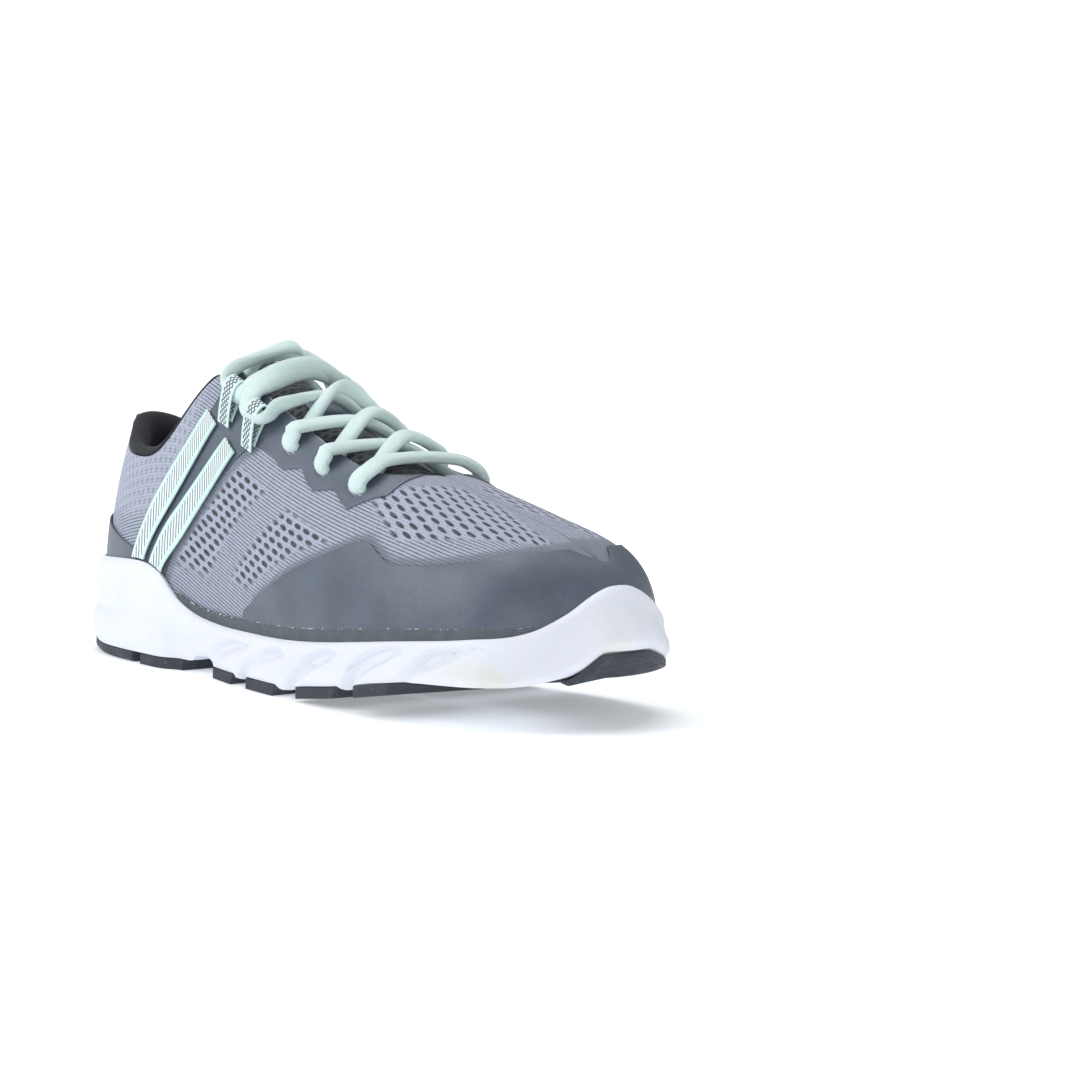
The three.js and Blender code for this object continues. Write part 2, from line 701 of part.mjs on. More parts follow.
function midsoleLoops() {
  const ks = [0, 0.07, 0.2, 0.4, 0.6, 0.8, 0.94, 1]
  return (side, t) => {
    const loop = ks.map(k => wallPoint(side, t, k))
    for (const z of [rim(side, t) - 0.3, lerp(station(BOTTOM, t), rim(side, t), 0.5)]) {
      const p = surf(side, t, hAt(side, t, z), GAP + 0.2)
      p.z = z
      loop.push(p)
    }
    const foot = surf(side, t, 0.02, GAP + 0.05)
    foot.z = station(BOTTOM, t) - GAP
    loop.push(foot)
    return loop
  }
}

function midsoleBody(nt) {
  const loopAt = midsoleLoops()
  const spots = []
  for (let i = 0; i < nt; i++) spots.push([-1, ends(i, nt)])
  for (let i = nt; i > 0; i--) spots.push([1, ends(i, nt)])
  const loops = spots.map(([s, t]) => loopAt(s, t))
  const m = loops[0].length
  const n = loops.length
  const idx = []
  const at = (r, k) => (r % n) * m + k
  for (let r = 0; r < n; r++) {
    for (let k = 0; k < m - 1; k++) {
      idx.push(at(r, k), at(r + 1, k), at(r + 1, k + 1), at(r, k), at(r + 1, k + 1), at(r, k + 1))
    }
  }
  for (const [k, flip] of [[0, true], [m - 1, false]]) {
    for (let i = 0; i < nt; i++) {
      const [a, b, c, d] = [at(i, k), at(i + 1, k), at(n - i - 1, k), at(n - i, k)]
      const tri = (x, y, z) => idx.push(...(flip ? [x, z, y] : [x, y, z]))
      if (i > 0) tri(a, b, d)
      if (i < nt - 1) tri(b, c, i > 0 ? d : a)
    }
  }
  return solid(loops.flat(), idx)
}

// Round groove between two points of the side wall.
function groove(a, b, radius) {
  const len = a.distanceTo(b)
  const g = new THREE.CylinderGeometry(radius, radius * 0.55, len, 7)
  const q = new THREE.Quaternion().setFromUnitVectors(V(0, 1, 0), b.clone().sub(a).normalize())
  g.applyQuaternion(q)
  const mid = a.clone().add(b).multiplyScalar(0.5)
  g.translate(mid.x, mid.y, mid.z)
  return indexed(g)
}

function midsole() {
  const tools = []
  for (let i = 0; i < 5; i++) {
    const t = 0.4 + 0.055 * i
    tools.push(groove(wallPoint(-1, t, 0.2), wallPoint(-1, t + 0.05, 0.72), 1.9))
  }
  for (let i = 0; i < 3; i++) {
    const k = 0.3 + 0.19 * i
    tools.push(groove(wallPoint(1, 0.64, k), wallPoint(1, 0.76, k), 1.2))
  }
  tools.push(groove(wallPoint(1, 0.5, 0.3), wallPoint(1, 0.6, 0.2), 3.4))
  return cut(midsoleBody(44), tools)
}

// ---- outsole -------------------------------------------------------------------------------------
// Rubber pad under the sole between two lengths and two widths; w is -1 lateral to 1 medial, gap
// parts it from the foam, and bevel lifts its lower edge on the lateral side.
const EDGE_ROUND = 0.6

function pad(t0, t1, w0, w1, steps, gap = PAD_GAP, bevel = 0, thick = RUBBER) {
  return slab((a, b, k) => {
    const t = lerp(t0, t1, a)
    const w = lerp(w0(t), w1(t), b)
    const p = wallPoint(-1, t, 0).lerp(wallPoint(1, t, 0), (w + 1) / 2)
    const top = p.z - gap
    const atEdge = Math.min(a, 1 - a) * steps < 0.5 || b < 0.01 || b > 0.99
    p.z = k === 1 ? top : Math.max(top - thick, 0)
    if (k === 0 && atEdge && p.z > 0.01) p.z += EDGE_ROUND
    if (k === 0 && b < 0.01) p.z += bevel
    return p
  }, steps, 3)
}

const flatW = w => () => w

// ---- laces ---------------------------------------------------------------------------------------
// Axes at a spot on the shoe: p towards the ridge, r towards the toe, with mm per unit of t and h.
function frameAt(side, { t, h }) {
  const o = skin(side, t, h)
  const p = skin(side, t, h + 0.02).sub(o).normalize()
  const r = skin(side, t + 0.01, h).sub(o).normalize()
  return { side, t, h, p, r, lt: mmT(side, t, h), lh: mmH(side, t, h) }
}

const place = (f, p, n, r) => surf(f.side, f.t + r / f.lt, f.h + p / f.lh, n)

// Control points [position, width axis] where the lace turns down through an eyelet and comes
// back under the edge; lean slides the two branches apart along the shoe.
function eyeTurn(side, spot, lean) {
  const f = frameAt(side, spot)
  const w = f.r
  const under = UNDER
  return [[7.5, 3.6, -1.2 * lean], [3.3, 3.3, -0.4 * lean], [0.8, 2.2, 0], [0, 0, 0],
    [0.3, -2.2, 0.2 * lean], [2.6, under, 0.8 * lean], [6.5, under - 0.1, 2 * lean],
    [10.5, -3.4, 3.4 * lean]].map(([p, n, r]) => [place(f, p, n, r), w])
}

// Control points where the lace runs through a webbing loop towards the heel.
function loopTurn(side, spot, last) {
  const f = frameAt(side, spot)
  const c = LOOP_FLOOR + 1.15 + LACE.thick / 2
  const away = last ? -6 : -7.6
  return [[9.5, -0.2, 8], [3, 0.3, 6.9], [0.2, 0, 4], [0, 0, 0], [0, 0, -4.2], [2.2, 0.3, -6.6],
    [9, -0.1, away]]
    .map(([p, n, r]) => [place(f, p, c + n, r), f.p.clone()])
}

function crossing(side, t, off, w) {
  return [surf(side, t, 1, off), w]
}

const BAR_SAG = 0.04               // how far the lowest bar leans to the ridge, of the way

// One half of the lace, from the middle of the lowest bar to the tucked end. It starts towards
// the given side; every crossing passes the other half above or below in turn.
function halfLace(first, high) {
  const pts = []
  let side = first
  const spots = [...EYELETS]
  for (let i = 0; i < 3; i++) {
    const turn = eyeTurn(side, spots[i], -1)
    pts.push(...turn)
    const next = i < 2 ? spots[i + 1] : LOOPS[0]
    const t = (spots[i].t + next.t) / 2 - 0.002
    pts.push(crossing(side, t, high !== (i % 2 === 1) ? 4.6 : 0.9, V(1, 0, 0)))
    side = -side
  }
  for (let i = 0; i < 2; i++) {
    pts.push(...loopTurn(side, LOOPS[i], i === 1))
    if (i === 0) {
      const t = (LOOPS[0].t + LOOPS[1].t) / 2
      pts.push(crossing(side, t, high ? 5.0 : 1.2, V(1, 0, 0)))
      side = -side
    }
  }
  pts.push(...tuckedEnd(side, high))
  return pts
}

// The end crosses once more, dives under the top of the eyestay and lies inside the shoe.
function tuckedEnd(side, high) {
  const out = [crossing(side, 0.361, high ? 4.4 : 1, V(1, 0, 0))]
  const other = -side
  const rows = [[0.357, 0.88, -1.1], [0.36, 0.79, -3.8], [0.375, 0.69, -4.1], [0.398, 0.58, -4.4],
    [0.415, 0.47, -4.4], [0.43, 0.37, -4.4], [0.445, 0.28, -4.4], [0.455, 0.2, -4.4]]
  for (const [t, h, off] of rows) {
    out.push([surf(other, t, h, off), frameAt(other, { t, h }).r])
  }
  return out
}

function lacePath() {
  const a = halfLace(-1, true)
  const b = halfLace(1, false)
  const f = frameAt(-1, EYELETS[0])
  const g = frameAt(1, EYELETS[0])
  const mid = surf(-1, EYELETS[0].t + 0.004, 1, 1.6)
  const left = place(f, 14, 3, 0.5).lerp(mid, BAR_SAG)
  const right = place(g, 14, 3, 0.5).lerp(mid, BAR_SAG)
  const middle = [[left, V(1, 0, 0)], [mid, V(1, 0, 0)], [right, V(1, 0, 0)]]
  return [...a.reverse(), ...middle, ...b]
}

// Even samples of the control path with the flat width axis carried along.
function sampled(path, step) {
  const fine = []
  for (let i = 0; i < path.length - 1; i++) {
    const q = k => path[clamp(i + k, 0, path.length - 1)]
    const span = q(0)[0].distanceTo(q(1)[0])
    const n = Math.max(2, Math.round(span / 0.5))
    for (let j = 0; j < n; j++) {
      const s = c => spline4(q(-1)[0][c], q(0)[0][c], q(1)[0][c], q(2)[0][c], j / n)
      fine.push([V(s('x'), s('y'), s('z')), q(0)[1].clone().lerp(q(1)[1], j / n)])
    }
  }
  fine.push(path[path.length - 1])
  const out = [fine[0]]
  let run = 0
  for (let i = 1; i < fine.length; i++) {
    run += fine[i][0].distanceTo(fine[i - 1][0])
    if (run >= step) {
      out.push(fine[i])
      run = 0
    }
  }
  return out
}

function lace(samples) {
  const loops = []
  let side = null
  for (let i = 0; i < samples.length; i++) {
    const a = samples[Math.max(i - 1, 0)][0]
    const b = samples[Math.min(i + 1, samples.length - 1)][0]
    const d = b.clone().sub(a).normalize()
    let w = samples[i][1].clone().addScaledVector(d, -samples[i][1].dot(d))
    if (side && w.dot(side) < 0) w.negate()
    if (side && w.length() < 0.3) w = side.clone().addScaledVector(d, -side.dot(d))
    if (side) w.lerp(side, 0.35).addScaledVector(d, -w.dot(d))
    w.normalize()
    side = w
    const n = d.clone().cross(w)
    const loop = []
    for (let k = 0; k < 6; k++) {
      const q = (k + 0.5) * Math.PI / 3
      loop.push(samples[i][0].clone().addScaledVector(w, Math.cos(q) * LACE.width / 2)
        .addScaledVector(n, Math.sin(q) * LACE.thick / 2))
    }
    loops.push(loop)
  }
  return loft(loops)
}


// ---- assembly ------------------------------------------------------------------------------------
const COLOURS = {
  white: 0xf1f2f5, rubber: 0x3b3f47, knit: 0x8b8d9c, film: 0x70767f, black: 0x22242a,
  mint: 0xcdeee8, grey: 0x7d838b, board: 0xcfcfca, foam: 0xd8d2c0
}

const shoe = new THREE.Group()

function add(name, geometry, colour) {
  const g = geometry.index ? geometry : indexed(geometry)
  const look = new THREE.MeshStandardMaterial({ color: COLOURS[colour], roughness: 0.8 })
  const mesh = new THREE.Mesh(g, look)
  mesh.name = name
  shoe.add(mesh)
}

add('midsole', midsole(), 'white')
add('outsole_heel_rear', pad(0.012, 0.075, flatW(-0.95), flatW(0.95), 3), 'rubber')
add('outsole_heel_lateral', pad(0.085, 0.262, flatW(-1), flatW(-0.3), 5, PAD_GAP, 1.5), 'rubber')
add('outsole_heel_lateral_front', pad(0.278, 0.35, flatW(-1), flatW(-0.3), 3), 'rubber')
add('outsole_heel_medial', pad(0.085, 0.32, flatW(0.3), flatW(1), 6), 'rubber')
const LUGS = [[0.42, 0.476], [0.508, 0.574], [0.617, 0.69], [0.72, 0.776]]
LUGS.forEach(([a, b], i) => {
  add(`outsole_lug_lateral_${i + 1}`, pad(a, b, flatW(-1), flatW(-0.12), 3), 'rubber')
})
LUGS.slice(0, 3).forEach(([a, b], i) => {
  add(`outsole_lug_medial_${i + 1}`, pad(a, b, flatW(0), flatW(1), 3), 'rubber')
})
const TOE_GAP = 0.8
const TOE_RUBBER = 2.2
const toePadEdge = t => lerp(0.05, -1, clamp((t - 0.87) / 0.1, 0, 1))
add('outsole_toe', pad(0.73, 0.985, toePadEdge, flatW(1), 12, TOE_GAP, 0, TOE_RUBBER), 'rubber')
add('strobel_board', insole(-2.6, 0.2, 1.6, 0.025, 0.975, 20), 'board')
add('sockliner', insole(-4.6, 2.1, 5.6, 0.04, 0.965, 20), 'grey')
add('upper_knit', upper(), 'knit')
add('toe_overlay', toeOverlay(), 'film')
add('rand_strip', rand(), 'grey')
for (const [word, side] of [['lateral', -1], ['medial', 1]]) {
  add(`side_overlay_${word}`, sideOverlay(side), 'film')
  add(`strap_rear_${word}`, strap(side, 0.254, [0.358, 0.49]), 'mint')
  add(`strap_front_${word}`, strap(side, 0.29, [0.406, 0.44]), 'mint')
  add(`lace_loop_lower_${word}`, laceLoop(side, LOOPS[0]), 'mint')
  add(`lace_loop_upper_${word}`, laceLoop(side, LOOPS[1]), 'mint')
}
add('collar_foam', collarFoam(), 'foam')
add('collar_lining', collarLining(), 'black')
add('tongue', tongue(), 'black')
add('tongue_patch', tonguePatch(), 'film')
const route = sampled(lacePath(), 4.5)
add('lace', lace(route), 'mint')
add('aglet_a', aglet([route[0][0], route[1][0]]), 'film')
add('aglet_b', aglet([route[route.length - 1][0], route[route.length - 2][0]]), 'film')
add('heel_overlay', heelOverlay(), 'film')
add('heel_strap_lateral', heelStrap(-1), 'mint')
add('heel_strap_medial', heelStrap(1), 'mint')
add('heel_pull_tab', pullTab(), 'black')
add('heel_counter', heelCounter(), 'board')
add('toe_puff', toePuff(), 'board')

const box = new THREE.Box3().setFromObject(shoe)
shoe.position.set(-(box.min.x + box.max.x) / 2, -(box.min.y + box.max.y) / 2, -box.min.z)

export default shoe
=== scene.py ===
import json
import math

import bpy
import numpy as np
from mathutils import Matrix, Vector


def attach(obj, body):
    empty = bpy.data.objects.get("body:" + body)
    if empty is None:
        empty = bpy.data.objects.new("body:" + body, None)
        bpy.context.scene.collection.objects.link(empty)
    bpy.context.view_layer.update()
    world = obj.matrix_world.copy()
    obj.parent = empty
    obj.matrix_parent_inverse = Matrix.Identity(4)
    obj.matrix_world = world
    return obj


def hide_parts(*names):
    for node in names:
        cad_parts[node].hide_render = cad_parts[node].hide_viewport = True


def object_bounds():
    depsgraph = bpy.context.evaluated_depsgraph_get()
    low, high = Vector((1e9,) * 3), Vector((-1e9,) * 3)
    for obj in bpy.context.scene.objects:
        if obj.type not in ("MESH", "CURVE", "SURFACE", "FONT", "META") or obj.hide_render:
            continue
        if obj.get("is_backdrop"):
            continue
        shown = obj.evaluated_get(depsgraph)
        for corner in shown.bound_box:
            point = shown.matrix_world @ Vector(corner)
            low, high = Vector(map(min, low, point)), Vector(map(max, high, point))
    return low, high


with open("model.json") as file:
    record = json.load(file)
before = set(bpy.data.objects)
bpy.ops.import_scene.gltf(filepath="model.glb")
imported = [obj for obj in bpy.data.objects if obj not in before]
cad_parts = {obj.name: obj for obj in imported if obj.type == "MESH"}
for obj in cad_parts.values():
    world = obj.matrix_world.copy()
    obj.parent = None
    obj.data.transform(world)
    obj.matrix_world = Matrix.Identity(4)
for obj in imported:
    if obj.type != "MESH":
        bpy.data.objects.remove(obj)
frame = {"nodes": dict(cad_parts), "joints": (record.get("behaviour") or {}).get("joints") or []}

CAD_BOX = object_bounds()
bpy.ops.object.select_all(action="DESELECT")

# ---- Camera -----------------------------------------------------------------------------------
# A long lens, low in front of the toe on the outer side. The camera leans a little, because the
# shoe rests flat here on its heel and forefoot rubber.
LENS, SENSOR = 71.4, 36
CAMERA_PLACE = (0.6066, -0.5003, 0.1105)
CAMERA_AZIMUTH = math.radians(45.44)
CAMERA_ELEVATION = math.radians(4.13)
CAMERA_LEAN = math.radians(1.94)
camera_data = bpy.data.cameras.new("camera")
camera_data.lens = LENS
camera_data.sensor_width = SENSOR
camera = bpy.data.objects.new("camera", camera_data)
bpy.context.scene.collection.objects.link(camera)
bpy.context.scene.camera = camera
camera.matrix_world = (Matrix.Translation(CAMERA_PLACE)
                       @ Matrix.Rotation(CAMERA_AZIMUTH, 4, "Z")
                       @ Matrix.Rotation(math.pi / 2 - CAMERA_ELEVATION, 4, "X")
                       @ Matrix.Rotation(CAMERA_LEAN, 4, "Z"))

# ---- Lace -------------------------------------------------------------------------------------
# One oval knitted cord, about 0.9 m long, from the lowest eyelets up through the webbing loops, its
# ends tucked inside. It lies on the last that the shoe is pulled over, so the last comes first, in
# millimetres: heel at x = 0, toe along +X, lateral side along -Y.
LATERAL = np.array([[5, 0], [14.5, -22.5], [39, -34], [73, -37], [105, -37.5], [137, -41.5],
                    [167, -46], [197, -48], [227, -45.5], [255, -34.5], [271.5, 4]])
MEDIAL = np.array([[5, 0], [14.5, 22], [39, 31], [73, 31.5], [105, 30], [137, 33],
                   [167, 39], [197, 45], [229, 46.5], [256.5, 38], [271.5, 4]])
RIDGE = np.array([[24, 0, 121.5], [34, 0, 118], [56, 0, 121.5], [82, 0, 124.5], [107, 0, 112.5],
                  [135, 0, 98.8], [162, 0, 87.2], [189.5, 1, 77.5], [217, 3, 69], [240, 6, 61.7],
                  [256, 8, 53.7]])
BOTTOM = np.array([22, 22, 21, 18.5, 16, 14, 13, 13, 15.5, 21, 28])
FULLNESS = np.array([2.8, 2, 2.35, 2.6, 2.7, 2.6, 2.55, 2.5, 2.5, 2.5, 2.3])
TOPLINE = [[-5, 93], [7, 91.5], [17, 87.4], [32, 80.3], [50, 78], [59, 79.3], [65, 83],
           [74, 93.3], [79, 101], [84.5, 108.6], [93, 113.5]]
THROAT = [[84, 15], [93, 18], [105, 19], [120, 20], [140, 21], [160, 22.5], [172, 22.5],
          [180, 20.5], [185, 16], [188, 9], [189, 0]]
HINGE_SPOT = np.array([197, 0, 66])
tongue_joint = next(j for j in frame["joints"] if j["name"] == "tongue_hinge")
SHOE_ORIGIN = np.array(tongue_joint["pos_m"]) * 1000 - HINGE_SPOT


def spline(a, b, c, d, f):
    return 0.5 * (2 * b + (c - a) * f + (2 * a - 5 * b + 4 * c - d) * f * f
                  + (3 * b - a - 3 * c + d) * f * f * f)


def through(padded, t):
    """Smooth value at t in 0..1 through evenly spaced stations, with one extra at each end."""
    n = len(padded) - 3
    place = np.clip(t, 0, 1) * n
    i = np.minimum(place.astype(int), n - 1)
    f = place - i
    if padded.ndim > 1:
        f = f[..., None]
    return spline(padded[i], padded[i + 1], padded[i + 2], padded[i + 3], f)


def level_ends(stations):
    return np.concatenate([stations[1:2], stations, stations[-2:-1]])


def curve(pairs, x):
    """Smooth value through unevenly spaced (x, value) pairs."""
    xs, ys = np.array(pairs, float).T
    x = np.clip(x, xs[0], xs[-1])
    rise = np.diff(ys) / np.diff(xs)
    turn = np.where(rise[:-1] * rise[1:] <= 0, 0, (rise[:-1] + rise[1:]) / 2)
    slope = np.concatenate([rise[:1], turn, rise[-1:]])
    i = np.clip(np.searchsorted(xs, x, "right") - 1, 0, len(xs) - 2)
    w = xs[i + 1] - xs[i]
    f = (x - xs[i]) / w
    return ((2 * f**3 - 3 * f**2 + 1) * ys[i] + (f**3 - 2 * f**2 + f) * w * slope[i]
            + (3 * f**2 - 2 * f**3) * ys[i + 1] + (f**3 - f**2) * w * slope[i + 1])


def outline(side, t):
    """Plan outline: it runs on into the other side at heel and toe, so both are round."""
    lateral = through(np.concatenate([MEDIAL[1:2], LATERAL, MEDIAL[-2:-1]]), t)
    medial = through(np.concatenate([LATERAL[1:2], MEDIAL, LATERAL[-2:-1]]), t)
    return np.where((side < 0)[..., None], lateral, medial)


def skin(side, t, h):
    """Point of the last: t runs heel to toe, h from the sole edge (0) to the ridge (1)."""
    side, t, h = np.broadcast_arrays(*(np.asarray(v, float) for v in (side, t, h)))
    edge = outline(side, t)
    ridge = through(level_ends(RIDGE), t)
    low = through(level_ends(BOTTOM), t)
    full = through(level_ends(FULLNESS), t)
    phi = np.clip(h, 0, 1) * math.pi / 2
    out = np.maximum(np.cos(phi), 0) ** (2 / full)
    up = np.maximum(np.sin(phi), 0) ** (2 / full)
    plan = ridge[..., :2] + (edge - ridge[..., :2]) * out[..., None]
    height = low + (ridge[..., 2] - low) * up
    return np.concatenate([plan, height[..., None]], -1)


def fold(side, t):
    """t may run past the heel (0) or the toe (1) on to the other side of the shoe."""
    side, t = np.broadcast_arrays(np.asarray(side, float), np.asarray(t, float))
    past = (t < 0) | (t > 1)
    return np.where(past, -side, side), np.where(t < 0, -t, np.where(t > 1, 2 - t, t))


def folded(side, t, h):
    side, t = fold(side, t)
    return skin(np.where(h > 1, -side, side), t, np.where(h > 1, 2 - h, h))


def unit(v):
    return v / np.maximum(np.linalg.norm(v, axis=-1, keepdims=True), 1e-9)


NUDGE = 0.012
LOWEST = 0.02


def surf(side, t, h, off):
    """Point off millimetres outside the last."""
    side, t = fold(side, t)
    side, t, h, off = np.broadcast_arrays(side, t, np.asarray(h, float), np.asarray(off, float))
    base = np.maximum(np.clip(h, 0, 1), LOWEST)
    along = folded(side, t + NUDGE, base) - folded(side, t - NUDGE, base)
    below = np.maximum(base - NUDGE, LOWEST)
    across = folded(side, t, base + NUDGE) - folded(side, t, below)
    normal = unit(np.cross(along, across)) * -side[..., None]
    return skin(side, t, h) + normal * off[..., None]


def h_at(side, t, z):
    """The h where the last reaches height z."""
    side, t = fold(side, t)
    low = through(level_ends(BOTTOM), t)
    top = through(level_ends(RIDGE), t)[..., 2]
    full = through(level_ends(FULLNESS), t)
    share = np.clip((z - low) / (top - low), 0, 1)
    return np.arcsin(share ** (full / 2)) * 2 / math.pi


def is_open(p):
    x, y, z = p[..., 0], p[..., 1], p[..., 2]
    foot = (x < TOPLINE[-1][0]) & (z > curve(TOPLINE, x))
    lacing = (x > THROAT[0][0]) & (x < THROAT[-1][0]) & (np.abs(y) < curve(THROAT, x))
    return foot | lacing


def h_edge(side, t, off=0.0):
    """The h of the foot opening's edge or of the lacing gap's edge, 1 where there is none."""
    side, t = fold(side, t)
    side, t, off = (np.atleast_1d(v) for v in np.broadcast_arrays(side, t, off))
    step = 0.02
    steps = np.arange(0.1, 1.0, step)
    hit = is_open(surf(side[:, None], t[:, None], steps[None, :], off[:, None]))
    found = hit.any(1)
    b = steps[hit.argmax(1)]
    a = b - step
    for _ in range(10):
        m = (a + b) / 2
        opened = is_open(surf(side, t, m, off))
        a, b = np.where(opened, a, m), np.where(opened, m, b)
    return np.where(found, a, 1.0)


WELD = 2e-5


def to_metres(points):
    return (np.asarray(points) + SHOE_ORIGIN) / 1000


def set_points(piece, points):
    piece.data.vertices.foreach_set("co", to_metres(points).astype(np.float32).ravel())
    piece.data.update()


def lay_grid(name, columns, rows, place, fabric=None, painted=None):
    """A grid primitive whose points place(a, b) lays out, with a and b from 0 to 1.
    fabric(a, b) gives the UV map, in millimetres of cloth, and painted(a, b) named attributes."""
    bpy.ops.object.select_all(action="DESELECT")
    bpy.ops.mesh.primitive_grid_add(x_subdivisions=columns, y_subdivisions=rows, size=1)
    piece = bpy.context.object
    piece.name = piece.data.name = name
    flat = np.empty(len(piece.data.vertices) * 3, np.float32)
    piece.data.vertices.foreach_get("co", flat)
    a, b = flat[0::3].astype(float) + 0.5, flat[1::3].astype(float) + 0.5
    set_points(piece, place(a, b))
    set_cloth(piece, *(fabric(a, b) if fabric else (a * 100, b * 100)))
    for key, values in (painted(a, b) if painted else {}).items():
        layer = piece.data.attributes.new(key, "FLOAT", "POINT")
        layer.data.foreach_set("value", values.astype(np.float32))
    edit(piece, lambda: bpy.ops.mesh.remove_doubles(threshold=WELD))
    return piece


def set_cloth(piece, u, v):
    """Gives each point its place on the flat cloth, as the piece's UV map."""
    if not piece.data.uv_layers:
        piece.data.uv_layers.new(name="UVMap")
    corners = np.empty(len(piece.data.loops), np.int32)
    piece.data.loops.foreach_get("vertex_index", corners)
    cloth = np.stack([u[corners], v[corners]], -1).astype(np.float32)
    piece.data.uv_layers[0].data.foreach_set("uv", cloth.ravel())


def pick(piece):
    bpy.ops.object.select_all(action="DESELECT")
    piece.select_set(True)
    bpy.context.view_layer.objects.active = piece


def edit(piece, *steps):
    """Runs operators on the whole of the piece in edit mode."""
    pick(piece)
    bpy.ops.object.mode_set(mode="EDIT")
    bpy.ops.mesh.select_all(action="SELECT")
    for step in steps:
        step()
    bpy.ops.object.mode_set(mode="OBJECT")


def modify(piece, kind, **settings):
    """Adds a modifier with these settings and applies it."""
    pick(piece)
    modifier = piece.modifiers.new(kind.lower(), kind)
    for key, value in settings.items():
        setattr(modifier, key, value)
    bpy.ops.object.modifier_apply(modifier=modifier.name)


def smooth(piece, angle=180):
    """Shades the piece smooth, but for edges sharper than this angle."""
    pick(piece)
    if angle >= 180:
        bpy.ops.object.shade_smooth()
    else:
        bpy.ops.object.shade_smooth_by_angle(angle=math.radians(angle))


class Field:
    """A shader socket. Sums and products of fields add Math nodes to its tree."""

    def __init__(self, tree, socket=None):
        self.tree = tree
        self.socket = socket

    def node(self, kind, settings=(), inputs=(), output=0):
        """Any node: its settings are set first, then its inputs, by name or number."""
        node = self.tree.nodes.new("ShaderNode" + kind)
        for key, value in dict(settings).items():
            if key == "stops":
                ramp = node.color_ramp.elements
                for place, colour in value[2:]:
                    ramp.new(place)
                for element, (place, colour) in zip(ramp, value):
                    element.position = place
                    element.color = (*colour, 1)
            else:
                setattr(node, key, value)
        self.feed(node, inputs)
        return Field(self.tree, node.outputs[output])

    def feed(self, node, inputs):
        for key, value in dict(inputs).items():
            if isinstance(value, Field):
                self.tree.links.new(value.socket, node.inputs[key])
            else:
                node.inputs[key].default_value = value

    def maths(self, operation, *values):
        return self.node("Math", {"operation": operation}, dict(enumerate(values)))

    def most(self, first, second, third):
        return self.maths("MAXIMUM", self.maths("MAXIMUM", first, second), third)

    def __add__(self, other):
        return self.maths("ADD", self, other)

    def __radd__(self, other):
        return self.maths("ADD", other, self)

    def __sub__(self, other):
        return self.maths("SUBTRACT", self, other)

    def __rsub__(self, other):
        return self.maths("SUBTRACT", other, self)

    def __mul__(self, other):
        return self.maths("MULTIPLY", self, other)

    def __rmul__(self, other):
        return self.maths("MULTIPLY", other, self)

    def __truediv__(self, other):
        return self.maths("DIVIDE", self, other)

    def __pow__(self, other):
        return self.maths("POWER", self, other)

    def sin(self):
        return self.maths("SINE", self)

    def fract(self):
        return self.maths("FRACT", self)

    def floor(self):
        return self.maths("FLOOR", self)

    def abs(self):
        return self.maths("ABSOLUTE", self)

    def ramp(self, low, high):
        """0 below low, 1 above high, smooth between; low may be the larger."""
        return self.node("MapRange", {"interpolation_type": "SMOOTHSTEP"},
                         {"Value": self, "From Min": low, "From Max": high})

    def mix(self, first, second):
        """Colour that goes from first to second as this field goes from 0 to 1."""
        colours = {6: first, 7: second}
        for key, value in colours.items():
            if not isinstance(value, Field):
                colours[key] = (*value, 1)
        return self.node("Mix", {"data_type": "RGBA"}, {0: self, **colours}, output=2)

    def noise(self, scale, detail):
        place = self.node("TexCoord", output="Object")
        return self.node("TexNoise", (), {"Scale": scale, "Detail": detail, "Vector": place})

    def cloth(self):
        """The piece's own UV map, in millimetres: along and across."""
        split = {"Vector": self.node("UVMap", {"uv_map": "UVMap"})}
        return [self.node("SeparateXYZ", (), split, axis) for axis in "XY"]

    def painted(self, name):
        return self.node("Attribute", {"attribute_name": name}, (), "Fac")

    def bump(self, height, depth):
        """Normal of a surface that this height field, 0 to 1, raises by depth millimetres."""
        return self.node("Bump", (), {"Height": height, "Distance": depth / 1000, "Strength": 1.0})


def new_finish(name, roughness=0.8, sheen=0.0, coat=0.0):
    """A material, its shader node and a field to build its patterns with."""
    finish = bpy.data.materials.new(name)
    finish.use_nodes = True
    shader = finish.node_tree.nodes["Principled BSDF"]
    shader.inputs["Roughness"].default_value = roughness
    shader.inputs["Sheen Weight"].default_value = sheen
    shader.inputs["Coat Weight"].default_value = coat
    return finish, shader, Field(finish.node_tree)


MINT = (0.86, 0.985, 0.96)
MINT_DEEP = (0.62, 0.88, 0.84)
WALE, COURSE = 0.62, 0.9


def wave(value, pitch):
    """A field that swings between 0 and 1 once in each pitch."""
    return (value * (2 * math.pi / pitch)).sin() * 0.5 + 0.5


def lace_finish():
    finish, shader, f = new_finish("lace_knit", roughness=0.85, sheen=0.35)
    u, v = f.cloth()
    arch = (v * (math.pi / WALE)).sin().abs() * 0.5
    knit = wave(v, WALE) * 0.5 + wave(u + arch, COURSE) * 0.5
    shade = f.noise(350, 3) * 0.35 + knit * 0.65
    colour = shade.ramp(0.1, 0.75).mix(MINT_DEEP, MINT)
    f.feed(shader, {"Base Color": colour, "Normal": f.bump(knit, 0.35)})
    return finish


# Eyelets and webbing loops, from the toe up, (t, h).
EYELETS = [(0.645, 0.615), (0.575, 0.605), (0.505, 0.6)]
LOOPS = [(0.438, 0.605), (0.383, 0.63)]
LOOP_CENTRE = 4.05
LACE_WIDTH = 7.2
LACE_THICK = 4.3
# Millimetres off the last where the lace runs behind the knit.
UNDER = -3.65
# Where each half crosses the ridge: millimetres off the last, for the upper and the lower half.
CROSSING = (4.6, 0.9)
LOOP_CROSSING = (5.0, 1.2)
TOP_CROSSING = (4.4, 1)
TOP_BAR = 0.361
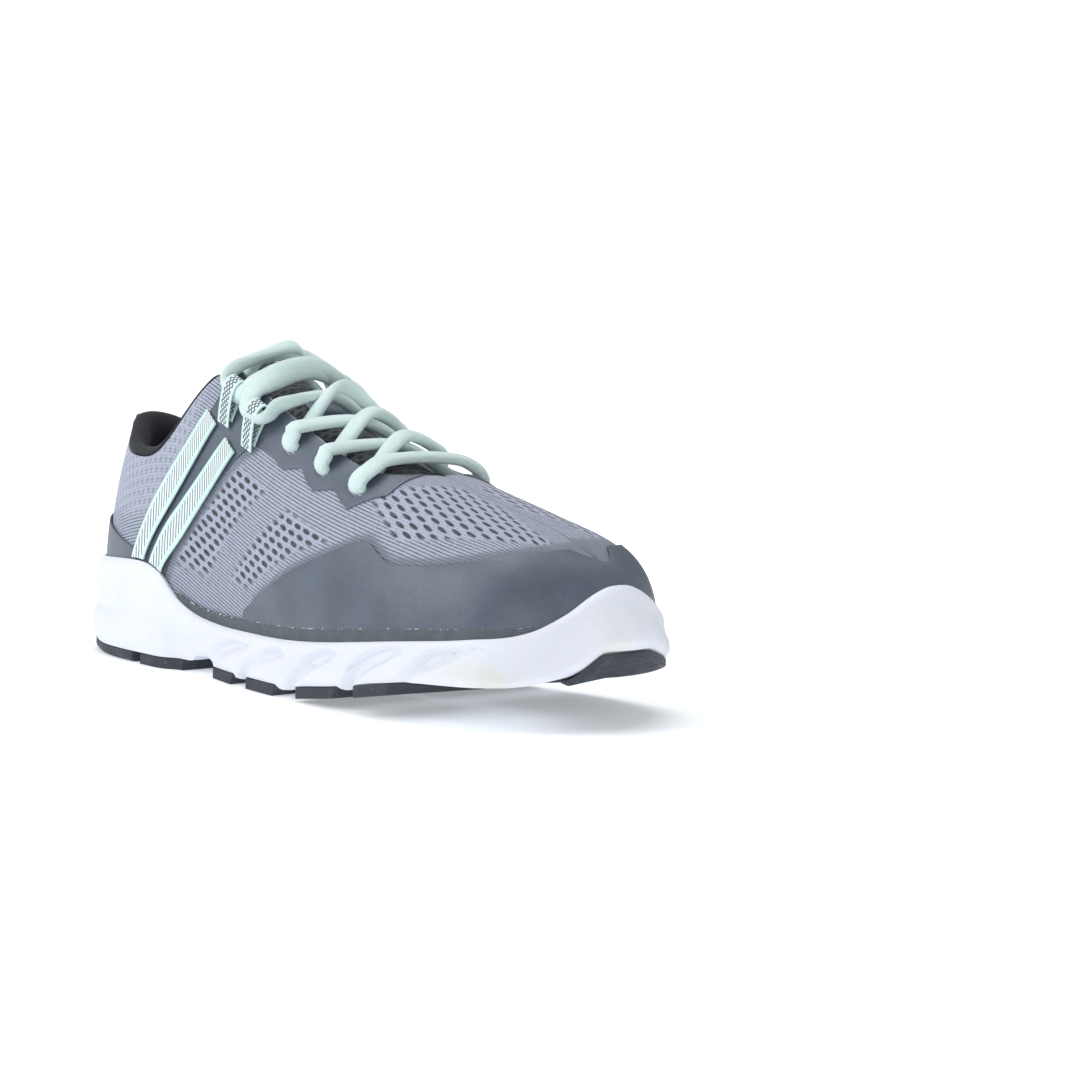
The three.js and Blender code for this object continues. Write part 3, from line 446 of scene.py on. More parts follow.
# The tucked end, inside the upper: (t, h, millimetres off the last).
TUCK = [(0.357, 0.88, -1.1), (0.36, 0.79, -3.8), (0.375, 0.69, -4.1), (0.398, 0.58, -4.4),
        (0.415, 0.47, -4.4), (0.43, 0.37, -4.4), (0.445, 0.28, -4.4), (0.455, 0.2, -4.4)]
LACE_STEP = 1.3


def frame_at(side, spot):
    """Axes at a spot: p towards the ridge, r towards the toe, with millimetres per unit."""
    t, h = spot
    here = skin(side, t, h)
    up = unit(skin(side, t, h + 0.02) - here)
    ahead = unit(skin(side, t + 0.01, h) - here)
    per_t = np.linalg.norm(skin(side, t + 0.01, h) - skin(side, t - 0.01, h)) / 0.02
    per_h = np.linalg.norm(skin(side, t, h + 0.01) - skin(side, t, h - 0.01)) / 0.02
    return {"side": side, "t": t, "h": h, "up": up, "ahead": ahead, "per_t": per_t, "per_h": per_h}


def near(f, p, n, r):
    return surf(f["side"], f["t"] + r / f["per_t"], f["h"] + p / f["per_h"], n)


def eyelet_turn(side, spot):
    """The lace comes over the edge, goes down through an eyelet and back under the edge."""
    f = frame_at(side, spot)
    route = [(7.5, 3.6, 1.2), (3.3, 3.3, 0.4), (0.8, 2.2, 0), (0, 0, 0), (0.3, -2.2, -0.2),
             (2.6, UNDER, -0.8), (6.5, UNDER - 0.1, -2), (10.5, -3.4, -3.4)]
    return [(near(f, *p), f["ahead"]) for p in route]


def loop_turn(side, spot, last):
    """The lace runs through a webbing loop towards the heel."""
    f = frame_at(side, spot)
    away = -6 if last else -7.6
    route = [(9.5, -0.2, 8), (3, 0.3, 6.9), (0.2, 0, 4), (0, 0, 0), (0, 0, -4.2), (2.2, 0.3, -6.6),
             (9, -0.1, away)]
    return [(near(f, p, LOOP_CENTRE + n, r), f["up"]) for p, n, r in route]


ALONG_X = np.array([1.0, 0, 0])


def half_lace(side, high):
    """One half of the lace, from the lowest bar to its tucked end, over or under the other."""
    route = []
    for i in range(3):
        route += eyelet_turn(side, EYELETS[i])
        ahead = EYELETS[i + 1] if i < 2 else LOOPS[0]
        t = (EYELETS[i][0] + ahead[0]) / 2 - 0.002
        over = high != (i % 2 == 1)
        route.append((surf(side, t, 1, CROSSING[not over]), ALONG_X))
        side = -side
    route += loop_turn(side, LOOPS[0], False)
    t = (LOOPS[0][0] + LOOPS[1][0]) / 2
    route.append((surf(side, t, 1, LOOP_CROSSING[not high]), ALONG_X))
    side = -side
    route += loop_turn(side, LOOPS[1], True)
    route.append((surf(side, TOP_BAR, 1, TOP_CROSSING[not high]), ALONG_X))
    for t, h, off in TUCK:
        route.append((surf(-side, t, h, off), frame_at(-side, (t, h))["ahead"]))
    return route


def lace_route():
    spot = EYELETS[0]
    middle = surf(-1, spot[0] + 0.004, 1, 1.6)
    ends = []
    for side in (-1, 1):
        ends.append(near(frame_at(side, spot), 14, 3.0, 0.5) * 0.96 + middle * 0.04)
    bar = [(ends[0], ALONG_X), (middle, ALONG_X), (ends[1], ALONG_X)]
    return half_lace(-1, True)[::-1] + bar + half_lace(1, False)


def even_samples(route, step):
    """The route as an even line of points, each with the direction of the lace's width."""
    points = np.array([p for p, _ in route])
    widths = np.array([w for _, w in route])
    fine, axes = [], []
    last = len(points) - 1
    for i in range(last):
        a, b, c, d = (points[min(max(i + k, 0), last)] for k in (-1, 0, 1, 2))
        for f in np.linspace(0, 1, 24, endpoint=False):
            fine.append(spline(a, b, c, d, f))
            axes.append(widths[i] * (1 - f) + widths[i + 1] * f)
    fine, axes = np.array(fine), np.array(axes)
    run = np.concatenate([[0], np.cumsum(np.linalg.norm(np.diff(fine, axis=0), axis=1))])
    at = np.linspace(0, run[-1], int(run[-1] / step))
    line = np.stack([np.interp(at, run, fine[:, k]) for k in range(3)], -1)
    width = np.stack([np.interp(at, run, axes[:, k]) for k in range(3)], -1)
    return line, width, run[-1]


def carried(line, width):
    """The width directions made square to the line, without flips, and evened out: each point
    takes a small share of its own direction, and none where that runs along the line."""
    ahead = unit(np.gradient(line, axis=0))
    out = []
    before = None
    for w, d in zip(width, ahead):
        square = w - d * (w @ d)
        if before is not None:
            if square @ before < 0:
                square = -square
            carry = before - d * (before @ d)
            share = 0.12 if np.linalg.norm(square) > 0.3 else 0.0
            square = carry * (1 - share) + unit(square) * share
        before = unit(square)
        out.append(before)
    return ahead, np.array(out)


def make_lace():
    line, width, length = even_samples(lace_route(), LACE_STEP)
    ahead, side = carried(line, width)
    up = np.cross(ahead, side)
    count = len(line) - 1
    plump = np.ones(count + 1)
    plump[[0, -1]] = 0.02

    def place(a, b):
        i = np.round(a * count).astype(int)
        turn = b * 2 * math.pi
        w = side[i] * (np.cos(turn) * LACE_WIDTH / 2 * plump[i])[:, None]
        n = up[i] * (np.sin(turn) * LACE_THICK / 2 * plump[i])[:, None]
        return line[i] + w + n

    def fabric(a, b):
        return a * length, b * (LACE_WIDTH + LACE_THICK) * 1.6

    piece = lay_grid("lace_cord", count, 16, place, fabric)
    smooth(piece)
    piece.data.materials.append(lace_finish())
    return piece


lace = make_lace()
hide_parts("lace")
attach(lace, "shoe")


def tip_finish():
    finish, shader, f = new_finish("lace_tip", roughness=0.3, coat=0.3)
    f.feed(shader, {"Base Color": f.noise(200, 2).mix((0.45, 0.6, 0.58), (0.6, 0.75, 0.72))})
    return finish


def refinish(names, finish):
    for name in names:
        node = frame["nodes"][name]
        node.data.materials.clear()
        node.data.materials.append(finish)


refinish(["aglet_a", "aglet_b"], tip_finish())

# ---- Upper ------------------------------------------------------------------------------------
# One piece of open knit, 1.7 mm thick, pulled over the last. Fine ribs run parallel to the lacing,
# and patches on each side, the vamp and the collar are knitted with open holes. The holes are
# painted near black, as painted shade of the shoe's inside seen through them.
KNIT = 1.7
RIB_PITCH = 1.3
QUARTER_PITCH = (6.0, 3.2)
QUARTER_HOLE = (2.3, 0.95)
COLLAR_PITCH = (3.6, 3.9)
COLLAR_HOLE = (0.75, 1.25)
VAMP_PITCH = (5.6, 4.0)
VAMP_HOLE = (2.5, 0.85)
KNIT_LIGHT = (0.39, 0.42, 0.52)
KNIT_DARK = (0.06, 0.068, 0.1)
# Painted shade: the near black of the knit's holes, the dark inside of the shoe seen through them.
KNIT_HOLE_SHADE = (0.01, 0.011, 0.02)
FILM_GREY = (0.16, 0.18, 0.22)
# Edges that turn by more than this, in radians, get a bevel.
BEVEL_FROM = 0.9
# Patches of holes as corners (t, h), the same on both sides.
QUARTER_HOLES = [(0.315, 0.07), (0.393, 0.065), (0.5, 0.4), (0.425, 0.4)]
WAIST_HOLES = [(0.43, 0.08), (0.48, 0.085), (0.65, 0.36), (0.54, 0.385)]
VAMP_HOLES = [(0.665, 0.60), (0.74, 0.45), (0.95, 0.80), (0.82, 0.98), (0.735, 0.98)]
# Upper edge of the toe film, height against t, on the lateral and the medial side.
TOE_TOP = {-1: [(0.475, 26), (0.5, 31), (0.56, 41), (0.64, 50.5), (0.7, 56), (0.725, 52.5),
                (0.75, 49.5), (0.8, 50.2), (0.88, 54), (0.95, 56.5), (1, 56.5)],
           1: [(0.56, 33), (0.6, 44), (0.65, 55), (0.69, 60.5), (0.72, 59.5), (0.75, 54.5),
               (0.8, 54.5), (0.88, 56.5), (0.95, 57), (1, 56.5)]}
TOE_FILM_END = {-1: 0.478, 1: 0.562}
MARGIN = 3.4
# Front edge of the film under the two side straps, t against h.
SADDLE_FRONT = [(0, 0.29), (0.073, 0.31), (0.16, 0.345), (0.307, 0.393), (0.43, 0.425),
                (0.537, 0.455)]


def spread(i):
    """Even steps in 0..1, closer together round the heel and the toe."""
    return i * 0.45 + 0.55 * (0.5 - 0.5 * np.cos(math.pi * i))


def round_the_shoe(a):
    """Side and t for a in 0..1: lateral heel to toe, then medial toe to heel."""
    side = np.where(a < 0.5, -1.0, 1.0)
    return side, spread(np.where(a < 0.5, 2 * a, 2 - 2 * a))


def by_side(side, table, x):
    return np.where(side < 0, curve(table[-1], x), curve(table[1], x))


def in_patch(t, h, patch, softness=2.0):
    """1 inside a convex patch given by its corners (t, h), 0 outside, soft at the edge."""
    millimetres = np.array([270.0, 105.0])
    p = np.stack([t, h], -1) * millimetres
    bends = np.array(patch) * millimetres
    depth = np.full(t.shape, np.inf)
    for here, ahead in zip(bends, np.roll(bends, -1, 0)):
        inwards = unit(np.array([here[1] - ahead[1], ahead[0] - here[0]]))
        if (bends.mean(0) - here) @ inwards < 0:
            inwards = -inwards
        depth = np.minimum(depth, (p - here) @ inwards)
    return np.clip(depth / softness, 0, 1)


CLOTH_T = np.linspace(0, 1, 121)
CLOTH_H = np.linspace(0, 1, 61)


def cloth_table(side):
    """Millimetres of cloth from each place of the last up to its ridge."""
    grid = skin(side, CLOTH_T[:, None], CLOTH_H[None, :])
    steps = np.linalg.norm(np.diff(grid, axis=1), axis=-1)
    up_to_ridge = np.cumsum(steps[:, ::-1], axis=1)[:, ::-1]
    return np.concatenate([up_to_ridge, np.zeros((len(CLOTH_T), 1))], axis=1)


CLOTH_DOWN = {-1: cloth_table(-1), 1: cloth_table(1)}
CLOTH_ALONG = np.concatenate([[0], np.cumsum(np.linalg.norm(
    np.diff(skin(-1, CLOTH_T, 0.35), axis=0), axis=-1))])


def cloth_lengths(side, t, h):
    """Millimetres of cloth: along the shoe from the heel, and down from the ridge."""
    i = np.clip(t, 0, 1) * (len(CLOTH_T) - 1)
    j = np.clip(h, 0, 1) * (len(CLOTH_H) - 1)
    i0 = np.minimum(i.astype(int), len(CLOTH_T) - 2)
    j0 = np.minimum(j.astype(int), len(CLOTH_H) - 2)
    fi, fj = i - i0, j - j0
    table = np.where(side < 0, 0, 1)
    both = np.stack([CLOTH_DOWN[-1], CLOTH_DOWN[1]])
    down = (both[table, i0, j0] * (1 - fi) * (1 - fj) + both[table, i0 + 1, j0] * fi * (1 - fj)
            + both[table, i0, j0 + 1] * (1 - fi) * fj + both[table, i0 + 1, j0 + 1] * fi * fj)
    return np.interp(np.clip(t, 0, 1), CLOTH_T, CLOTH_ALONG), down


def oval_holes(u, v, pitch, size, stagger=0.5, skew=0.0):
    """Rows of ovals, 1 in a hole and 0 between them; skew turns each oval in its row."""
    row = (v / pitch[1]).floor()
    along = ((u / pitch[0] + row * stagger).fract() - 0.5) * pitch[0]
    across = ((v / pitch[1]).fract() - 0.5) * pitch[1]
    x = along / size[0]
    y = (across - along * skew) / size[1]
    return (x * x + y * y).ramp(1.3, 0.55)


def knit_finish():
    finish, shader, f = new_finish("ribbed_knit", roughness=0.9, sheen=0.15)
    u, v = f.cloth()
    loose = f.noise(160, 2) * 0.5
    quarter, vamp, collar = f.painted("quarter"), f.painted("vamp"), f.painted("collar")
    quarter_holes = oval_holes(u, v + loose, QUARTER_PITCH, QUARTER_HOLE) * quarter
    vamp_holes = oval_holes(u, v + u * 0.3 + loose, VAMP_PITCH, VAMP_HOLE, 0.1, 0.5) * vamp
    collar_holes = oval_holes(u + loose, v, COLLAR_PITCH, COLLAR_HOLE) * collar * 0.35
    opened = f.most(quarter_holes, vamp_holes, collar_holes)
    patterned = f.most(quarter, vamp, collar)
    stitch = wave(u + (v / RIB_PITCH).floor() * 0.36, 0.95)
    gap = (wave(v, RIB_PITCH) ** 2.0) * (1 - patterned * 0.6) * (0.65 + stitch * 0.35)
    yarn = f.noise(900, 2) * 0.5 + (1 - gap) * 0.65
    cloth = yarn.ramp(0.2, 0.95).mix(KNIT_DARK, KNIT_LIGHT)
    filmed = f.painted("filmed")
    covered = (filmed * 0.8).mix(cloth, FILM_GREY)
    strands = 0.7 + f.noise(650, 2) * 0.4
    # Holes not under film are painted near black: painted shade of the inside.
    colour = (opened * (1 - filmed) * strands).mix(covered, KNIT_HOLE_SHADE)
    height = (1 - gap) * 0.45 + (1 - opened) * 0.55
    f.feed(shader, {"Base Color": colour, "Normal": f.bump(height, 0.5)})
    return finish


def thicken(piece, thickness, finish, bevel=0.0, offset=1.0, angle=40):
    """Gives a sheet its thickness and its rounded edges, in millimetres, and its finish."""
    modify(piece, "SOLIDIFY", thickness=thickness / 1000, offset=offset)
    if bevel:
        modify(piece, "BEVEL", width=bevel / 1000, segments=2, limit_method="ANGLE",
               angle_limit=BEVEL_FROM)
    smooth(piece, angle)
    piece.data.materials.append(finish)


def make_upper():
    columns, rows = 420, 56
    side_of, t_of = round_the_shoe(np.linspace(0, 1, columns + 1))
    edges = h_edge(side_of, t_of)

    def spots(a, b):
        i = np.round(a * columns).astype(int)
        return side_of[i], t_of[i], 0.01 + (edges[i] - 0.01) * b

    def place(a, b):
        return surf(*spots(a, b), 0.0)

    def fabric(a, b):
        return cloth_lengths(*spots(a, b))

    def painted(a, b):
        side, t, h = spots(a, b)
        z = skin(side, t, h)[:, 2]
        toe_band = np.clip(by_side(side, TOE_TOP, t) + MARGIN - z, 0, 1) * (t > 0.49)
        ahead = t - curve(SADDLE_FRONT, h)
        saddle_band = np.clip((0.014 - ahead) * 300, 0, 1) * (ahead > -0.01)
        saddle_band = saddle_band * (t > 0.3) * (h < 0.52)
        return {"quarter": np.maximum(in_patch(t, h, QUARTER_HOLES), in_patch(t, h, WAIST_HOLES)),
                "vamp": in_patch(t, h, VAMP_HOLES),
                "collar": np.clip((0.33 - t) * 60, 0, 1) * np.clip((z - 54) / 4, 0, 1),
                "filmed": np.maximum(toe_band, saddle_band)}

    piece = lay_grid("knit_upper", columns, rows, place, fabric, painted)
    thicken(piece, KNIT, knit_finish(), offset=-1.0, angle=50)
    return piece


upper = make_upper()
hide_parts("upper_knit")
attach(upper, "shoe")

# ---- Bonded film ------------------------------------------------------------------------------
# Smooth grey film, 0.65 mm thick, cut flat and glued on the knit: round the toe, as eyestay and
# saddle on each side, and round the heel. It is punched for the eyelets.
FILM_BASE, FILM = 0.5, 0.65
EYELET_HOLE = (8.2, 6.2)
# Upper edge of the foam, height against t.
RIM = {-1: [(0, 37), (0.15, 37.6), (0.25, 38.8), (0.298, 35.5), (0.333, 27.5), (0.37, 22.5),
            (0.42, 20), (0.5, 19.5), (0.61, 20.5), (0.78, 26), (0.87, 29), (0.925, 32),
            (0.95, 37.5), (0.97, 43.5), (0.985, 46), (1, 46.6)],
       1: [(0, 37), (0.15, 37.6), (0.26, 38), (0.34, 33), (0.42, 28), (0.5, 25.8), (0.6, 26),
           (0.78, 30), (0.87, 33), (0.92, 36.5), (0.95, 42), (0.97, 45), (0.985, 46.3), (1, 46.6)]}
FILM_LIGHT = (0.11, 0.135, 0.175)
FILM_SHADE = (0.06, 0.077, 0.103)
# Lower edge of the eyestay, with a point under each eyelet, and rear edge of the film, (t, h).
TABS = [(0.69, 0.665), (0.672, 0.6), (0.648, 0.505), (0.634, 0.515), (0.612, 0.552), (0.578, 0.495),
        (0.562, 0.51), (0.54, 0.548), (0.508, 0.49), (0.494, 0.5), (0.478, 0.512)]
SADDLE_REAR = [(0, 0.246), (0.2, 0.295), (0.4, 0.333), (0.58, 0.353), (0.66, 0.352)]


def h_rim(side, t, above=-1.5):
    """The h just inside the midsole's rim, so that a layer starts behind the foam."""
    side, t = fold(side, t)
    return h_at(side, t, by_side(side, RIM, t) + above)


def film_finish():
    finish, shader, f = new_finish("bonded_film", roughness=0.4, coat=0.22)
    shader.inputs["Coat Roughness"].default_value = 0.38
    mottled = f.noise(45, 3) * 0.6 + f.noise(1500, 2) * 0.4
    _, v = f.cloth()
    grain = wave(v, RIB_PITCH) * 0.3 + f.noise(700, 3) * 0.7
    f.feed(shader, {"Base Color": mottled.ramp(0.25, 0.75).mix(FILM_SHADE, FILM_LIGHT),
                    "Roughness": f.noise(60, 2) * 0.25 + 0.36,
                    "Normal": f.bump(grain, 0.06)})
    return finish


FILM_FINISH = film_finish()
# Millimetres of the flat sheet for each unit of t and of h.
FLAT = (270, 100)


def cut_flat(name, outer, holes=(), cell=2.5):
    """A flat sheet inside an outline of (t, h), with holes, cut into small cells."""
    drawing = bpy.data.curves.new(name, "CURVE")
    drawing.dimensions = "2D"
    drawing.fill_mode = "BOTH"
    for line in (outer, *holes):
        loop = drawing.splines.new("POLY")
        loop.points.add(len(line) - 1)
        for point, (t, h) in zip(loop.points, line):
            point.co = (t * FLAT[0], h * FLAT[1], 0, 1)
        loop.use_cyclic_u = True
    piece = bpy.data.objects.new(name, drawing)
    bpy.context.scene.collection.objects.link(piece)
    pick(piece)
    bpy.ops.object.convert(target="MESH")
    piece = bpy.context.object
    low = np.array(outer).min(0) * FLAT
    high = np.array(outer).max(0) * FLAT
    cuts = []
    for axis in (0, 1):
        for place in np.arange(low[axis] + cell / 2, high[axis], cell):
            co = [0.0, 0.0, 0.0]
            co[axis] = float(place)
            cuts.append((co, [float(axis == 0), float(axis == 1), 0.0]))
    edit(piece, *(lambda co=co, no=no: (bpy.ops.mesh.select_all(action="SELECT"),
                                        bpy.ops.mesh.bisect(plane_co=co, plane_no=no))
                  for co, no in cuts))
    return piece


def lay_on_last(piece, side, base):
    """Bends a flat sheet on to one side of the last. It faces inwards and is thickened that way."""
    flat = np.empty(len(piece.data.vertices) * 3, np.float32)
    piece.data.vertices.foreach_get("co", flat)
    t, h = flat[0::3].astype(float) / FLAT[0], flat[1::3].astype(float) / FLAT[1]
    side_of = np.full(t.shape, float(side))
    set_points(piece, surf(side_of, t, h, base))
    set_cloth(piece, *cloth_lengths(side_of, t, h))
    if side < 0:
        edit(piece, lambda: bpy.ops.mesh.flip_normals())


def eyelet_hole(side, spot):
    f = frame_at(side, spot)
    wide, high = EYELET_HOLE
    turns = np.linspace(0, 2 * math.pi, 24, endpoint=False)
    return [(spot[0] + math.cos(q) * wide / 2 / f["per_t"],
             spot[1] + math.sin(q) * high / 2 / f["per_h"]) for q in turns]


def side_film(side):
    rear = [(curve(SADDLE_REAR, h), h) for h in np.linspace(0.66, float(h_rim(side, 0.25)), 14)]
    top_t = np.linspace(0.69, 0.353, 60)
    edge = h_edge(np.full(60, side), top_t)
    inset = [0.7 / float(frame_at(side, (t, 0.7))["per_h"]) for t in top_t]
    top = [(t, min(e - i, 0.93)) for t, e, i in zip(top_t, edge, inset)]
    front = [(curve(SADDLE_FRONT, h), h) for h in np.linspace(float(h_rim(side, 0.33)), 0.5, 14)]
    outer = front + TABS[::-1] + top + rear
    return [(float(t), float(h)) for t, h in outer]


for word, side in (("lateral", -1), ("medial", 1)):
    film = cut_flat(f"film_{word}", side_film(side), [eyelet_hole(side, e) for e in EYELETS])
    lay_on_last(film, side, FILM_BASE)
    thicken(film, FILM, FILM_FINISH, bevel=0.18)
    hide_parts(f"side_overlay_{word}")
    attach(film, "shoe")


def toe_film_spots(a, b):
    t = TOE_FILM_END[-1] + (2 - TOE_FILM_END[1] - TOE_FILM_END[-1]) * a
    side, u = fold(np.full(t.shape, -1.0), t)
    top = np.minimum(h_at(side, u, by_side(side, TOE_TOP, u)), 0.8)
    low = np.where((side < 0) & (u < 0.93), h_at(side, u, rand_top(u) + 0.2), h_rim(side, u))
    low = np.minimum(low, top - 0.004)
    return side, u, low + (top - low) * b


def rand_top(t):
    arch = np.clip((t - 0.32) / 0.61, 0, 1)
    return curve(RIM[-1], t) + 4 * np.sin(math.pi * arch) ** 0.35


def make_toe_film():
    """The toe film, with faint creases."""
    def place(a, b):
        side, t, h = toe_film_spots(a, b)
        creases = 0.22 * np.sin(t * 70 + 3 * h) * np.sin(math.pi * b)
        return surf(side, t, h, FILM_BASE + creases)

    piece = lay_grid("film_toe", 260, 26, place, lambda a, b: cloth_lengths(*toe_film_spots(a, b)))
    thicken(piece, FILM, FILM_FINISH, bevel=0.2)
    return piece


film_toe = make_toe_film()
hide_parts("toe_overlay")
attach(film_toe, "shoe")

HEEL_FILM_TOP = [(0, 56), (0.12, 52), (0.2, 46.5), (0.25, 42)]
HEEL_FILM_END = 0.247


def heel_film_spots(a, b):
    t = HEEL_FILM_END * (1 - 2 * a)
    side, u = fold(np.full(t.shape, 1.0), t)
    low = h_rim(side, u)
    return side, u, low + (h_at(side, u, curve(HEEL_FILM_TOP, u)) - low) * b


film_heel = lay_grid("film_heel", 120, 14, lambda a, b: surf(*heel_film_spots(a, b), FILM_BASE),
                     lambda a, b: cloth_lengths(*heel_film_spots(a, b)))
thicken(film_heel, FILM, FILM_FINISH)
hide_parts("heel_overlay")
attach(film_heel, "shoe")

# ---- Rand strip -------------------------------------------------------------------------------
# A narrow woven strip between the toe film and the foam on the lateral side, with a thin line of
# dried glue along its upper edge.
RAND_ENDS = (0.335, 0.93)
RAND, RAND_BASE = 0.8, 0.45
GLUE_WHITE = (0.8, 0.82, 0.84)


def rand_spots(a, b):
    t = RAND_ENDS[0] + (RAND_ENDS[1] - RAND_ENDS[0]) * a
    side = np.full(t.shape, -1.0)
    low = h_rim(side, t)
    return side, t, low + (h_at(side, t, rand_top(t) + 0.5) - low) * b


def rand_finish():
    finish, shader, f = new_finish("woven_rand", roughness=0.9)
    u, v = f.cloth()
    weave = wave(u + v, 0.8) * wave(u - v, 0.8)
    glue = f.painted("edge").ramp(0.55, 0.95) * f.noise(700, 4).ramp(0.54, 0.62)
    shade = (weave * 0.6 + f.noise(300, 3) * 0.4).ramp(0.1, 0.7)
    cloth = shade.mix((0.075, 0.085, 0.1), (0.16, 0.18, 0.2))
    f.feed(shader, {"Base Color": glue.mix(cloth, GLUE_WHITE),
                    "Normal": f.bump(weave, 0.12)})
    return finish


rand = lay_grid("rand", 160, 6, lambda a, b: surf(*rand_spots(a, b), RAND_BASE),
                lambda a, b: cloth_lengths(*rand_spots(a, b)),
                lambda a, b: {"edge": (b > 0.9).astype(float)})
thicken(rand, RAND, rand_finish(), bevel=0.2)
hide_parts("rand_strip")
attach(rand, "shoe")

# ---- Webbing ----------------------------------------------------------------------------------
# Woven mint tape with a patterned grey centre, 6 mm wide, or 7.2 mm in the loops: two straps and
# two loops for the lace on each side, and one strap down each side of the heel, cut to a point.
TAPE_WIDTH = 6.0
TAPE_BASE, TAPE = 1.25, 0.8
TAPE_MINT = (0.66, 0.86, 0.82)
TAPE_GREY = (0.12, 0.15, 0.17)
TAPE_PALE = (0.80, 0.90, 0.89)


def tape_finish(name, pitch, net, pale):
    """Tape with a patterned centre: pale cells in a grey net, or pale slanting threads."""
    finish, shader, f = new_finish(name, roughness=0.7, sheen=0.2)
    u, v = f.cloth()
    edge = v.abs().ramp(1.75, 2.05)
    slant = wave(u * 0.9 + v * 1.1, pitch).ramp(0.22, 0.5)
    back = wave(u * 0.9 - v * 1.1, pitch).ramp(0.22, 0.5)
    cells = f.maths("MINIMUM", slant, back * net + (1 - net))
    threads = cells * (1 - pale) + pale
    ribs = wave(u, 0.55)
    centre = threads.mix(TAPE_GREY, TAPE_PALE)
    selvedge = (ribs * 0.5 + f.noise(500, 2) * 0.5).ramp(0.1, 0.8).mix(MINT_DEEP, TAPE_MINT)
    f.feed(shader, {"Base Color": edge.mix(centre, selvedge),
                    "Normal": f.bump(ribs * edge + threads * (1 - edge), 0.15)})
    return finish


STRAP_TAPE = tape_finish("strap_tape", pitch=1.5, net=0.0, pale=0.1)
LOOP_TAPE = tape_finish("loop_tape", pitch=1.7, net=1.0, pale=0.0)
HEEL_TAPE = tape_finish("heel_tape", pitch=1.5, net=0.0, pale=0.5)


CORE_HEIGHT = 0.055


def face_out(piece):
    """Turns a sheet whose faces point at the middle of the shoe."""
    towards = 0.0
    for face in piece.data.polygons:
        centre = np.array(face.center)
        core = np.array([centre[0], 0.0, CORE_HEIGHT])
        towards += float(np.array(face.normal) @ (core - centre)) * face.area
    if towards > 0:
        edit(piece, lambda: bpy.ops.mesh.flip_normals())


def lay_tape(name, columns, place, length, finish, thickness=TAPE):
    """A length of tape: place(a, b) has a along it and b across."""
    piece = lay_grid(name, columns, 6, place, lambda a, b: (a * length, (b - 0.5) * TAPE_WIDTH))
    face_out(piece)
    thicken(piece, thickness, finish, bevel=0.25, angle=50)
    return piece


# Each strap from its t at the foam's rim to its upper end, (t, h).
STRAPS = {"rear": (0.254, (0.358, 0.49)), "front": (0.29, (0.406, 0.44))}
for word, side in (("lateral", -1), ("medial", 1)):
    for which, (start, end) in STRAPS.items():

        def place(a, b):
            t = start + (end[0] - start) * a + 0.016 * np.sin(math.pi * a)
            t = t + (b - 0.5) * TAPE_WIDTH / 250
            low = h_rim(np.full(t.shape, side), t, 0.7)
            h = low + (end[1] - low) * a ** 0.85
            h = h - (b - 0.5) * 0.028 * np.minimum(1, a * 4)
            return surf(np.full(t.shape, side), t, h, TAPE_BASE)

        strap = lay_tape(f"tape_{which}_{word}", 60, place, 52, STRAP_TAPE)
        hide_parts(f"strap_{which}_{word}")
        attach(strap, "shoe")

# The loop tape lies flat on the film, passes over the lace and comes back under itself.
LOOP_ROUTE = [(-11, 1.4), (-8.4, 2.6), (-5.6, 4.0), (-2.8, 5.4), (-0.6, 6.4), (1.4, 6.8),
              (3.2, 6.3), (4.4, 5.1), (4.5, 3.6), (3.6, 2.3), (1.5, 1.7), (-2, 1.5), (-9, 1.35)]
LOOP_WIDTH, LOOP_TAPE_THICK = 7.2, 0.6


def run_along(route):
    """Length of a route of points up to each of them."""
    return np.concatenate([[0], np.cumsum(np.linalg.norm(np.diff(route, axis=0), axis=1))])


for word, side in (("lateral", -1), ("medial", 1)):
    for which, spot in (("lower", LOOPS[0]), ("upper", LOOPS[1])):
        f = frame_at(side, spot)
        route = np.array(LOOP_ROUTE)
        run = run_along(route)

        def place(a, b):
            p = np.interp(a * run[-1], run, route[:, 0])
            n = np.interp(a * run[-1], run, route[:, 1])
            return near(f, p, n, (b - 0.5) * LOOP_WIDTH)

        loop = lay_tape(f"loop_{which}_{word}", 48, place, run[-1], LOOP_TAPE, LOOP_TAPE_THICK)
        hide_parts(f"lace_loop_{which}_{word}")
        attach(loop, "shoe")

HEEL_TAPE_TOP, HEEL_TAPE_TIP = 82, 46
for word, side in (("lateral", -1), ("medial", 1)):

    def place(a, b):
        z = HEEL_TAPE_TOP + (HEEL_TAPE_TIP - HEEL_TAPE_TOP) * a
        narrow = 1 - np.clip((a - 0.86) / 0.14, 0, 1) * 0.95
        t = 0.022 + 0.056 * a
        h = h_at(np.full(t.shape, side), t, z)
        width = (b - 0.5) * narrow * TAPE_WIDTH / 290
        rise = np.clip((58 - z) / 6, 0, 1)
        return surf(np.full(t.shape, side), t + width, h, 0.25 + rise * 1.05)

    strap = lay_tape(f"tape_heel_{word}", 44, place, 36, HEEL_TAPE)
    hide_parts(f"heel_strap_{word}")
    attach(strap, "shoe")

# ---- Pull tab ---------------------------------------------------------------------------------
# A short folded loop of black tape at the top of the heel, sewn on at its lower end.
TAB_ROUTE = np.array([(0.2, 0.3), (-1.4, 1.0), (-3.0, 3.4), (-3.5, 6.2), (-2.6, 8.2),
                      (-1.2, 8.5), (-0.5, 7.6), (-0.5, 4.0), (-0.2, 1.0)])
TAB_WIDTH, TAB_THICK, TAB_HEIGHT = 7.6, 0.7, 84.5
tab_foot = surf(-1, 0, h_at(-1, 0, TAB_HEIGHT), 0.6)


def tab_place(a, b):
    run = run_along(TAB_ROUTE)
    x, z = (np.interp(a * run[-1], run, TAB_ROUTE[:, k]) for k in (0, 1))
    return tab_foot + np.stack([x, (b - 0.5) * TAB_WIDTH, z], -1)


